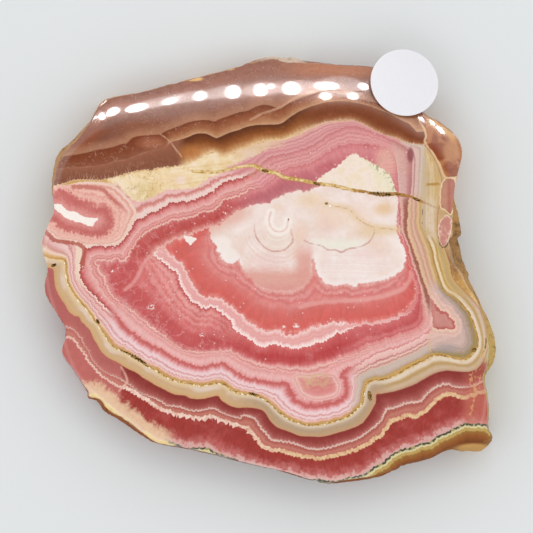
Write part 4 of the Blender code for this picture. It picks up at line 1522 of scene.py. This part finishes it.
# %% The cream wedge and the golden vein
wedge = stored("wedge") + jagged * 0.6
wedge_cloud = cloud(1.2, 5.0, 0.62)
wedge_colour = ramp(wedge_cloud, [
    (0.30, (234, 203, 152)), (0.44, (240, 212, 166)), (0.54, (243, 221, 182)), (0.66, (246, 224, 198)),
])
olive = around(144, 192, 22, 13, 0.8) * ease(cloud(0.7, 4.0), 0.32, 0.54)
cracks = ease((cloud(1.3, 3.0) - 0.5).maths("ABSOLUTE"), 0.016, 0.0)
old_lines = ease(layers(paper_y + (paper_x - 150) * 0.12 + wander * 8, 3.0, 2.0), 0.54, 0.62)
wedge_colour = coats(
    wedge_colour,
    ((214, 186, 120), olive * 0.6),
    ((246, 220, 206), around(181, 180, 9, 7, 0.8) * 0.8),
    ((184, 146, 78), cracks * ease_x(190, 150) * 0.6),
    ((214, 176, 108), old_lines * ease_x(168, 186) * 0.3),
    ((222, 186, 162), ease_x(222, 252) * 0.6),
)
wedge_end = ease(paper_x + swing(cloud(0.8, 4.0, 0.65), 40), 258, 290)
colour = paint(colour, wedge_colour, inside(wedge, 0.10) * (1.0 - wedge_end))

vein = stored("vein") + wander * 0.6
vein_grain = cloud(0.5, 4.0, 0.65)
vein_width = 0.15 + ease_x(236, 264) * 0.08 - ease_x(300, 340) * 0.05
vein_width = vein_width + swing(vein_grain, 0.24) - ease_x(400, 412) * 0.06
vein_here = ease(vein.maths("ABSOLUTE"), vein_width + 0.05, vein_width - 0.03)
vein_colour = coats(
    (238, 212, 156),
    ((196, 152, 76), ease(vein_grain, 0.44, 0.60)),
    ((182, 134, 56), ease(vein.maths("ABSOLUTE"), 0.06, 0.22) * 0.8),
    ((160, 106, 40), ease_x(344, 372) * 0.8),
)
vein_here = vein_here * (1.0 - ease_x(418, 430) * 0.6)
vein_crack = ease(vein.maths("ABSOLUTE"), 0.11, 0.03) * ease(vein_grain, 0.42, 0.54)
vein_crack = vein_crack * (ease_x(352, 372) * ease_x(404, 396) + specks(4.0, 0.8) * 0.8)
colour = coats(
    colour,
    (vein_colour, vein_here * ease_x(184, 196)),
    ((84, 56, 22), vein_crack * 0.9),
)

# %% The rough right side, right of the banded columns
RIGHT_SIDE = [
    (0.0, (222, 194, 146)), (0.14, (216, 186, 138)), (0.24, (206, 170, 118)), (0.32, (170, 126, 82)),
    (0.42, (196, 154, 102)), (0.52, (158, 114, 74)), (0.60, (196, 150, 86)), (0.72, (212, 172, 104)),
    (0.84, (202, 172, 104)), (0.94, (190, 168, 104)), (1.0, (180, 160, 100)),
]
beyond = ease(seam, -0.02, 0.10) * ease_x(426, 434) * ease_y(366, 358)
rough_cloud = cloud(1.1, 5.0, 0.65)
rough_colour = ramp((paper_y - 150) / 215 + swing(rough_cloud, 0.3), RIGHT_SIDE)
rough_colour = scaled(rough_colour, 1.0 + swing(rough_cloud, 1.2))
columns = ramp((paper_x - 426) / 20 + wander * 0.5, [
    (0.0, (208, 182, 146)), (0.30, (216, 188, 146)), (0.42, (202, 166, 112)), (0.55, (210, 175, 132)),
    (0.75, (201, 163, 118)), (1.0, (204, 168, 124)),
])
lumps = around(459, 229, 6, 10, 0.7) + around(458, 262, 9, 7, 0.7) * 0.7
rough_colour = coats(
    rough_colour,
    (columns, ease_x(450, 442) * ease_y(262, 244)),
    ((136, 106, 64), lumps * ease(cloud(0.6, 4.0), 0.36, 0.58)),
)
colour = paint(colour, rough_colour, beyond)
side_streaks = ease_x(424, 428) * ease_y(232, 242) * ease_y(300, 284)
SIDE_STREAKS = [             # distance outside the bands, half width, colour
    (0.38, 0.08, (240, 222, 188)), (0.12, 0.03, (178, 132, 58)), (0.68, 0.05, (190, 146, 70)),
]
for distance, half, tone in SIDE_STREAKS:
    streak_here = along(banded + wander * 0.4 - distance, half, 0.11) * side_streaks
    colour = paint(colour, tone, streak_here * 0.75)
side_crack = along(paper_y - 184.5 - wander * 10, 0.5, 1.4)
side_crack = side_crack * ease_x(425, 428) * ease_x(441, 438)
lens = stored("lens") + gentle
lens_colour = paint((190, 136, 114), (172, 98, 82), ease(paper_x + wander * 8, 446, 450) * 0.8)
lens_colour = scaled(lens_colour, 1.0 + swing(mottle, 0.7))
small_lens = stored("small_lens") + jagged * 0.4
small_colour = paint((200, 136, 122), (228, 188, 172), ease(mottle, 0.46, 0.62))
under_lens = along(small_lens - 0.12, 0.03, 0.10) * ease_y(238, 244)
colour = coats(
    colour,
    ((176, 130, 52), side_crack * 0.8),
    ((230, 204, 160), inside(lens - 0.14, 0.05)),
    (lens_colour, inside(lens, 0.05)),
    ((232, 206, 180), inside(small_lens - 0.10, 0.05)),
    (small_colour, inside(small_lens, 0.05)),
    ((96, 66, 34), under_lens * 0.8),
)

triangle = stored("triangle") + jagged * 0.5
border = ramp((triangle + fuzz * 0.6) / 0.9, [
    (0.0, (238, 204, 182)), (0.30, (230, 192, 172)), (0.50, (220, 178, 162)), (0.75, (230, 194, 180)),
    (1.0, (216, 176, 166)),
])
triangle_colour = coats(
    (205, 142, 132),
    ((188, 100, 92), ease(triangle, -0.45, -0.08)),
    ((206, 142, 132), ease_x(438, 432) * 0.7),
)
triangle_colour = scaled(triangle_colour, 1.0 + swing(mottle, 0.4))
right_crack = stored("right_crack") + wander * 0.5
colour = coats(
    colour,
    (border, ease(triangle, 0.95, 0.75) * ease_x(428, 434) * 0.9),
    (triangle_colour, inside(triangle, 0.06)),
    ((214, 178, 122), along(right_crack, 0.14, 0.16) * 0.7),
    ((88, 62, 28), along(right_crack, 0.03, 0.08)),
)
print("right side ready:", len(Wire.tree.nodes), "nodes")

# %% The brown crust: its steps
MIDDLE_STEP = [
    (0.0, (116, 58, 34)), (0.22, (138, 76, 48)), (0.6, (162, 102, 68)), (0.85, (186, 132, 94)),
    (1.0, (204, 156, 120)),
]
GOLDEN_STEP = [
    (0.0, (94, 50, 32)), (0.14, (108, 58, 32)), (0.36, (130, 72, 36)), (0.60, (160, 98, 54)),
    (0.78, (192, 140, 92)), (0.92, (224, 184, 136)), (1.0, (238, 210, 168)),
]
LEFT_SMOOTH = [
    (0.0, (124, 62, 38)), (0.5, (134, 72, 46)), (0.9, (142, 84, 60)), (1.0, (164, 112, 88)),
]
LEFT_FIBROUS = [
    (0.0, (154, 96, 72)), (0.3, (144, 90, 67)), (0.75, (136, 82, 61)), (1.0, (146, 96, 71)),
]
LAST_STEP = [
    (0.0, (140, 88, 64)), (0.28, (132, 72, 44)), (0.55, (126, 65, 37)), (0.78, (143, 82, 51)),
    (0.92, (174, 120, 84)), (1.0, (212, 170, 138)),
]
crust_along = stored("crust_along")
crust_teeth = teeth(crust_along, 0.30, 0.10)
crust = stored("crust") + wander * 0.7 + crust_teeth
upper = stored("upper_terrace") + wander * 0.4
lower = stored("lower_terrace") + wander * 0.5
haze = swing(cloud(1.6, 4.0, 0.6), 0.30)
middle_age = between(upper, lower) + haze * 0.6
foot_age = between(lower, crust) + haze * 0.7
under = coats(
    ramp(foot_age, LEFT_FIBROUS),
    (ramp(foot_age, GOLDEN_STEP), ease_x(176, 188)),
    (ramp(foot_age, LAST_STEP), ease_x(290, 322)),
)
comb = ease(fibres(crust_along, crust, 0.13, 0.7) + swing(cloud(1.2), 0.3), 0.54, 0.66)
comb = comb * ease(crust, -1.5, -0.2) * ease_x(176, 150)
hot = around(192, 152, 20, 11, 0.8)
warm = around(152, 143, 20, 9, 0.8)
crust_colour = coats(
    ramp(middle_age, LEFT_SMOOTH),
    (ramp(middle_age, MIDDLE_STEP), ease_x(164, 172)),
    (under, inside(-lower, 0.06)),
    ((198, 154, 128), comb * 0.55),
    ((198, 128, 72), hot * 0.6),
    ((184, 118, 88), warm * 0.6),
)

ROLL = [
    (0.0, (138, 74, 44)), (0.22, (144, 80, 52)), (0.42, (133, 82, 62)), (0.72, (140, 88, 68)),
    (1.0, (149, 92, 67)),
]
roll_colour = ramp(stored("from_arris") / 5.0 + haze, ROLL)
roll_right = ease_x(262, 324)
near_step = ease(upper, -1.3, -0.1)
roll_colour = coats(
    roll_colour,
    ((180, 108, 66), roll_right * ease(stored("from_arris"), 1.9, 0.6) * 0.8),
    # Darker at the upper left of the roll, above the windows' spots: partly the crust's own brown,
    # partly painted shade where the roll turns away from the light.
    ((116, 62, 44), ease_x(240, 120) * ease_y(104, 90) * 0.5),
    ((180, 128, 98), near_step * 0.75),
)
third = stored("third_terrace") + wander * 0.5
crust_dust = ease(cloud(0.20, 2.0), 0.58, 0.70) * ease(cloud(2.0, 3.0), 0.40, 0.62)
crust_colour = coats(
    crust_colour,
    (roll_colour, inside(upper, 0.06)),
    ((204, 156, 124), along(third, 0.04, 0.16) * 0.7),
    ((212, 170, 140), along(stored("crust_crack") + wander * 0.4, 0.02, 0.12) * 0.7),
    ((196, 166, 148), crust_dust * inside(lower) * 0.5),
)
crust_colour = scaled(crust_colour, 1.0 + swing(cloud(0.7, 4.0, 0.65), 0.34))
crust_colour = scaled(crust_colour, 1.0 + swing(layers(crust + wander * 0.6, 0.30, 3.0), 0.22))
foot_edge = ease(crust, -0.16, -0.02)
foot_colour = paint((236, 204, 160), (214, 168, 144), ease_x(290, 330))
roll_crack = along(stored("roll_crack") + wander * 0.3, 0.02, 0.08)
chip = around(194, 78, 11, 3, 0.5) + around(229, 67.5, 7, 2.5, 0.6)
crust_colour = coats(
    crust_colour,
    (foot_colour, foot_edge * 0.9),
    ((120, 66, 40), roll_crack * 0.8),
    ((228, 178, 104), chip),
)
colour = paint(colour, crust_colour, inside(crust, 0.05))

shoulder = stored("shoulder") + gentle
shoulder_cloud = cloud(1.5, 4.0, 0.6)
shoulder_rim = ease(stored("from_arris"), 1.1, 0.3) * ease_x(424, 430) * ease_y(146, 134)
dark_blotch = around(435, 143, 5, 15, 0.6) + around(449, 167, 7, 8, 0.5)
shoulder_colour = coats(
    (182, 118, 76),
    ((146, 74, 40), ease(shoulder_cloud, 0.44, 0.56)),
    ((190, 132, 86), around(452, 150, 12, 16, 0.6) * 0.8),
    ((218, 164, 106), shoulder_rim * 0.85),
    ((136, 62, 32), dark_blotch * 0.7),
)
shoulder_crack = along(stored("shoulder_crack") + wander * 0.5, 0.04, 0.12)
colour = coats(
    colour,
    (shoulder_colour, inside(shoulder, 0.08)),
    ((230, 196, 152), shoulder_crack * 0.85),
)
print("crust ready:", len(Wire.tree.nodes), "nodes")


# %% [markdown]
# ## Rind, back, pockets and gloss
#
# Down the side the bands give way to the weathered skin, which changes round the
# stone: tan at the upper left, olive and brown at the left, dark rose where the last
# band lies bare, pale crystals at the top. A ramp over the bearing holds those. The
# sawn back shows the same bands through a grey dust, with the marks of the blade.

# %% Rind by bearing
RIND_BY_BEARING = [
    (0, (172, 130, 80)), (8, (164, 122, 76)), (14, (184, 138, 82)), (25, (200, 146, 96)),
    (46, (198, 146, 98)), (60, (150, 96, 64)), (78, (152, 92, 60)), (82, (216, 192, 170)),
    (91, (214, 188, 166)), (95, (186, 128, 84)), (105, (196, 136, 66)), (126, (184, 122, 70)),
    (134, (196, 146, 100)),
    (164, (186, 140, 94)), (172, (188, 158, 92)), (186, (180, 146, 92)), (192, (172, 100, 88)),
    (212, (166, 92, 78)), (218, (150, 82, 38)), (234, (152, 84, 42)), (241, (142, 74, 52)),
    (282, (118, 66, 40)), (290, (142, 78, 28)), (320, (140, 80, 30)), (328, (192, 160, 92)),
    (343, (200, 166, 98)), (350, (194, 150, 86)), (360, (172, 130, 80)),
]
turn = y_mm.maths("ARCTAN2", x_mm) / math.tau
turn = (turn + 1.0).maths("FRACT")
rind_colour = ramp(turn, [(degrees / 360, tone) for degrees, tone in RIND_BY_BEARING])
crumbs = cloud(0.9, 5.0, 0.65)
rind_colour = coats(
    rind_colour,
    (scaled(rind_colour, 0.45), ease(crumbs, 0.48, 0.32)),
    ((214, 186, 150), ease(crumbs, 0.60, 0.76) * 0.5),
)
down = stored("down_the_side")
on_rind = ease(down + swing(crumbs, 0.9), 0.10, 0.55) * (1.0 - stored("on_the_back"))
lump_grain = ease(cloud(0.6, 4.0), 0.40, 0.56)
colour = coats(colour, (rind_colour, on_rind), ((118, 92, 56), lumps * lump_grain * 0.8))

# %% A golden ledge, the pockets and the sawn back
ledge = ease(green, 1.0, 1.3) * around(474, 449, 24, 7, 0.5)
pocket = stored("in_the_pocket")
# Inside the pockets the colour is dark brown, patched with gold.
pocket_colour = paint((72, 52, 26), (206, 168, 104), ease(cloud(0.25, 3.0), 0.42, 0.58))
in_pocket_mask = ease(pocket, 0.02, 0.12)
colour = coats(colour, ((204, 158, 92), ledge * 0.85), (pocket_colour, in_pocket_mask))

back = ease(z_mm, 0.12, 0.04)
dusty = paint(colour, (206, 186, 176), 0.42)
colour = paint(colour, dusty, back)

# %% Fine grain in every colour
grain = swing(cloud(0.42, 4.0, 0.6), 0.11) + swing(cloud(3.2, 2.0), 0.07) + 1.0
colour = scaled(colour, grain)
link(colour, stone_shader, "Base Color")
polished = (1.0 - on_rind) * (1.0 - back) * (1.0 - in_pocket_mask) * ease(green, 0.9, 0.1)
polished = polished * (1.0 - roll_crack * 0.8)
roughness = 0.78 - polished * 0.50 + swing(cloud(0.8, 3.0), 0.12)
link(roughness, stone_shader, "Roughness")
link(polished, stone_shader, "Coat Weight")
COAT_ROUGHNESS = 0.08
stone_shader.inputs["Coat Roughness"].default_value = COAT_ROUGHNESS
stone_shader.inputs["IOR"].default_value = 1.33
print("stone finished:", len(Wire.tree.nodes), "nodes")

# %% [markdown]
# Relief too fine for the mesh comes from a Bump node: the polishing wheel's faint
# swells on the face, grit on the rind, and the parallel ridges of the saw behind.
# Heights are in millimetres, so the bump's distance is `MM`.

# %% Fine relief
swell = cloud(2.2, 2.0) * 0.003 + cloud(0.30, 2.0) * 0.0004
grit = cloud(0.30, 5.0, 0.7) * 0.20
saw_ridges = layers(x_mm * 0.35 + y_mm + cloud(8.0) * 0.6, 0.45, 3.0) * 0.03
relief = swell * polished + grit * on_rind + saw_ridges * back
bump = Wire.node("ShaderNodeBump", sockets={"Strength": 1.0, "Distance": MM, "Height": relief})
link(bump, stone_shader, "Normal")

stone_mesh.materials.append(stone)
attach(slice_of_stone, "root")
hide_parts("rhodochrosite_slice")

# %% [markdown]
# ## The paper label
#
# A round white sticker sits on the roll at the upper right, half of it past the edge.
# It is left bare. It could be a flat disc, but paper pressed on a curved edge bends,
# so this one is a disc of rings with two faces and a rim, pressed down near the stone
# and lifting at its inner edge.

# %% A bent paper disc with a rim
LABEL_MIDDLE = (15.64, 21.33)
LABEL_RADIUS = 3.99
LABEL_THICK = 0.11
LABEL_LEAN = 17.0
LABEL_RINGS = 12
LABEL_SIDES = 96
LABEL_PRESSED = 0.20         # how far its middle is pressed down from the flat disc

label_box_low, label_box_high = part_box("paper_label")
label_height = (label_box_low.z + label_box_high.z) / 2 / MM
outward = Vector(LABEL_MIDDLE).normalized()


def label_point(ring, side, lift):
    """A corner of the label; lift is 0 on its under face and 1 on its upper face."""
    reach = LABEL_RADIUS * ring / LABEL_RINGS
    angle = math.tau * side / LABEL_SIDES
    u, v = reach * math.cos(angle), reach * math.sin(angle)
    lean = math.radians(LABEL_LEAN)
    share = ring / LABEL_RINGS
    rise = LABEL_THICK * (lift - 0.5) - LABEL_PRESSED * (1.0 - share ** 2)
    out = u * math.cos(lean) + rise * math.sin(lean)
    up = rise * math.cos(lean) - u * math.sin(lean)
    x = LABEL_MIDDLE[0] + outward.x * out - outward.y * v
    y = LABEL_MIDDLE[1] + outward.y * out + outward.x * v
    return Vector((x, y, label_height + up)) * MM


label_profile = [(ring, 1) for ring in range(1, LABEL_RINGS + 1)]
label_profile += [(ring, 0) for ring in range(LABEL_RINGS, 0, -1)]
label_corners = [label_point(0, 0, 1)]
for ring, lift in label_profile:
    label_corners += [label_point(ring, side, lift) for side in range(LABEL_SIDES)]
label_corners.append(label_point(0, 0, 0))
under_middle = len(label_corners) - 1
ring_starts = [1 + row * LABEL_SIDES for row in range(len(label_profile))]
label_faces = []
for side in range(LABEL_SIDES):
    near = [start + side for start in ring_starts]
    far = [start + (side + 1) % LABEL_SIDES for start in ring_starts]
    label_faces += [(0, near[0], far[0]), (under_middle, far[-1], near[-1])]
    for row in range(len(label_profile) - 1):
        label_faces.append((near[row], near[row + 1], far[row + 1], far[row]))
label_mesh = bpy.data.meshes.new("round_label")
label_mesh.from_pydata([tuple(corner) for corner in label_corners], [], label_faces)
label_mesh.shade_smooth()
label_mesh.set_sharp_from_angle(angle=math.radians(50))
label = bpy.data.objects.new("round_label", label_mesh)
bpy.context.scene.collection.objects.link(label)

# %% White paper
paper, paper_shader = new_material("white_paper")
weave = cloud(0.25, 5.0, 0.7, millimetres_in_object())
paper_colour = paint((232, 232, 234), (224, 223, 226), weave)
link(paper_colour, paper_shader, "Base Color")
link(0.46 + weave * 0.12, paper_shader, "Roughness")
paper_bump = Wire.node(
    "ShaderNodeBump", sockets={"Strength": 0.6, "Distance": MM, "Height": weave * 0.02}
)
link(paper_bump, paper_shader, "Normal")
label_mesh.materials.append(paper)
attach(label, "root")
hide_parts("paper_label")
print("label made of", len(label_faces), "faces")

# %% [markdown]
# ## Floor, light and camera
#
# The floor is plain and pale. A polished stone is hard to light: a flat face mirrors
# whatever is straight above it, and a bright sky there would lay a grey veil over the
# bands. So the sky is dark overhead and bright at the sides. The roll along the top
# edge looks the other way. It mirrors a row of small bright windows, and each becomes
# a white spot on it. `mirror_direction` finds where a lamp has to hang for its spot.

# %% Pale floor
floor_mesh = bpy.data.meshes.new("floor")
FLOOR_HALF = 1.6
floor_mesh.from_pydata(
    [(-FLOOR_HALF, -FLOOR_HALF, 0), (FLOOR_HALF, -FLOOR_HALF, 0),
     (FLOOR_HALF, FLOOR_HALF, 0), (-FLOOR_HALF, FLOOR_HALF, 0)], [], [(0, 1, 2, 3)]
)
floor = bpy.data.objects.new("floor", floor_mesh)
floor.location.z = -0.02 * MM
bpy.context.scene.collection.objects.link(floor)
floor_material, floor_shader = new_material("pale_card")
card_place = Wire.node("ShaderNodeTexCoord", output="Object")
card = paint((227, 230, 229), (223, 226, 225), cloud(0.05, where=card_place))
link(card, floor_shader, "Base Color")
floor_shader.inputs["Roughness"].default_value = 0.85
floor_shader.inputs["Specular IOR Level"].default_value = 0.0
floor_mesh.materials.append(floor_material)

# %% Sky: dark overhead, bright at the sides
world = bpy.data.worlds.new("studio")
bpy.context.scene.world = world
world.use_nodes = True
Wire.tree = world.node_tree
direction = Wire.node("ShaderNodeTexCoord", output="Generated")
height = Wire(Wire.node("ShaderNodeSeparateXYZ", sockets={0: direction}).socket.node.outputs[2])
sky = ramp(height, [(0.0, (232, 232, 234)), (0.80, (236, 236, 238)), (0.955, (40, 40, 42)),
                    (1.0, (20, 20, 20))])
background = world.node_tree.nodes["Background"]
Wire.tree.links.new(sky.socket, background.inputs["Color"])
SKY_STRENGTH = 1.42
background.inputs["Strength"].default_value = SKY_STRENGTH

# %% Camera straight above, looking down on the polished face
CAMERA_HEIGHT = 450.0
FRAME_WIDTH = 533 * SQUARE
FRAME_MIDDLE = on_slice([(266.5, 266.5)])[0]
camera = bpy.data.cameras.new("camera")
camera.sensor_width = 36.0
camera.lens = camera.sensor_width * CAMERA_HEIGHT / FRAME_WIDTH
camera.clip_start = 0.01
camera_object = bpy.data.objects.new("camera", camera)
camera_object.location = Vector((*FRAME_MIDDLE, THICKNESS + CAMERA_HEIGHT)) * MM
bpy.context.scene.collection.objects.link(camera_object)
bpy.context.scene.camera = camera_object
print("lens", round(camera.lens), "mm")

# %% A row of windows mirrored by the roll
WINDOW_SPOTS = [             # middle of each spot on the squared paper, width and height
    (92.5, 118, 5, 8), (101.8, 116, 7, 8), (112.5, 111.5, 14, 8), (135, 108, 22, 8),
    (169, 101, 15, 7), (200, 95.5, 13, 10), (233.5, 91.5, 15, 14), (260.5, 89.5, 13, 13),
    (271, 86, 7, 5), (291, 88, 17, 14), (327, 85.5, 24, 8), (325.5, 96, 12, 8),
    (353, 96, 11, 7), (364, 86, 11, 7), (421, 118, 10, 4), (433, 123, 6, 4), (441, 130, 11, 4),
]
VEIL_SPOTS = [               # the same for the faint shine between them
    (110, 111.5, 44, 9), (152, 103.5, 44, 9), (188, 96.5, 34, 10), (222, 91.5, 40, 12),
    (262, 88.5, 44, 14), (302, 87, 38, 15), (344, 86.5, 48, 22),
]
WINDOW_DISTANCE = 14.0
WINDOW_SPREAD = math.radians(90)   # thrown forwards, so that the flat face stays clear from the sides
WINDOW_SHINE = 34.0          # radiance of a window
VEIL_SHINE = 5.5


def face_point(x, y):
    """The place on the polished face above a point of the slice."""
    return Vector((x, y, float(rolled_height(np.array([[x, y]]))[0])))


def mirror_direction(x, y):
    """Where the camera sees to, mirrored in the face at this point."""
    step = 0.4
    slope_x = (face_point(x + step, y).z - face_point(x - step, y).z) / (2 * step)
    slope_y = (face_point(x, y + step).z - face_point(x, y - step).z) / (2 * step)
    normal = Vector((-slope_x, -slope_y, 1.0)).normalized()
    to_camera = (camera_object.location / MM - face_point(x, y)).normalized()
    return 2.0 * normal.dot(to_camera) * normal - to_camera


def mirrored(across, down_paper):
    """Where a lamp has to hang to be seen mirrored at this place on the squared paper."""
    x, y = on_slice([(across, down_paper)])[0]
    return face_point(x, y) + mirror_direction(x, y) * WINDOW_DISTANCE


def hang_window(name, spot, shine):
    """A lamp whose mirror image fills one spot: the roll stretches it most across."""
    across, down_paper, wide, tall = spot
    middle = mirrored(across, down_paper)
    by_x = (mirrored(across + wide / 2, down_paper) - mirrored(across - wide / 2, down_paper)) / wide
    by_y = (mirrored(across, down_paper + tall / 2) - mirrored(across, down_paper - tall / 2)) / tall
    turned, stretch, _ = np.linalg.svd(np.array([by_x, by_y]).T, full_matrices=False)
    local_x, local_y = Vector(turned[:, 1]), Vector(turned[:, 0])
    if local_x.cross(local_y).dot(middle) < 0.0:
        local_y = -local_y
    lamp = bpy.data.lights.new(name, "AREA")
    lamp.shape = "ELLIPSE"
    lamp.size = wide * stretch[1] * MM
    lamp.size_y = tall * stretch[0] * MM
    lamp.spread = WINDOW_SPREAD
    half = WINDOW_SPREAD / 2
    lamp.energy = shine * math.pi * lamp.size * lamp.size_y * math.pi / 4
    lamp.energy *= 1.0 - half / math.tan(half)      # the spread makes its middle this much brighter
    window = bpy.data.objects.new(name, lamp)
    turned = Matrix((local_x, local_y, local_x.cross(local_y))).transposed()
    window.matrix_world = Matrix.Translation(middle * MM) @ turned.to_4x4()
    window.visible_diffuse = False
    window.visible_camera = False
    bpy.context.scene.collection.objects.link(window)
    return lamp.size / MM, lamp.size_y / MM


for number, spot in enumerate(WINDOW_SPOTS):
    sizes = hang_window(f"window_{number}", spot, WINDOW_SHINE)
    print("window", number, "is", [round(size, 1) for size in sizes], "mm")
for number, spot in enumerate(VEIL_SPOTS):
    hang_window(f"veil_{number}", spot, VEIL_SHINE)
print(len(WINDOW_SPOTS), "windows")

# %% One soft lamp for a little shape
key = bpy.data.lights.new("soft_key", "AREA")
key.size = 0.7
key.energy = 0.95
key_object = bpy.data.objects.new("soft_key", key)
key_object.location = (0.14, 0.23, 0.76)
key_object.rotation_euler = Vector((-0.14, -0.23, -0.76)).to_track_quat("-Z", "Y").to_euler()
key_object.visible_glossy = False
bpy.context.scene.collection.objects.link(key_object)
bpy.context.scene.view_settings.view_transform = "Standard"
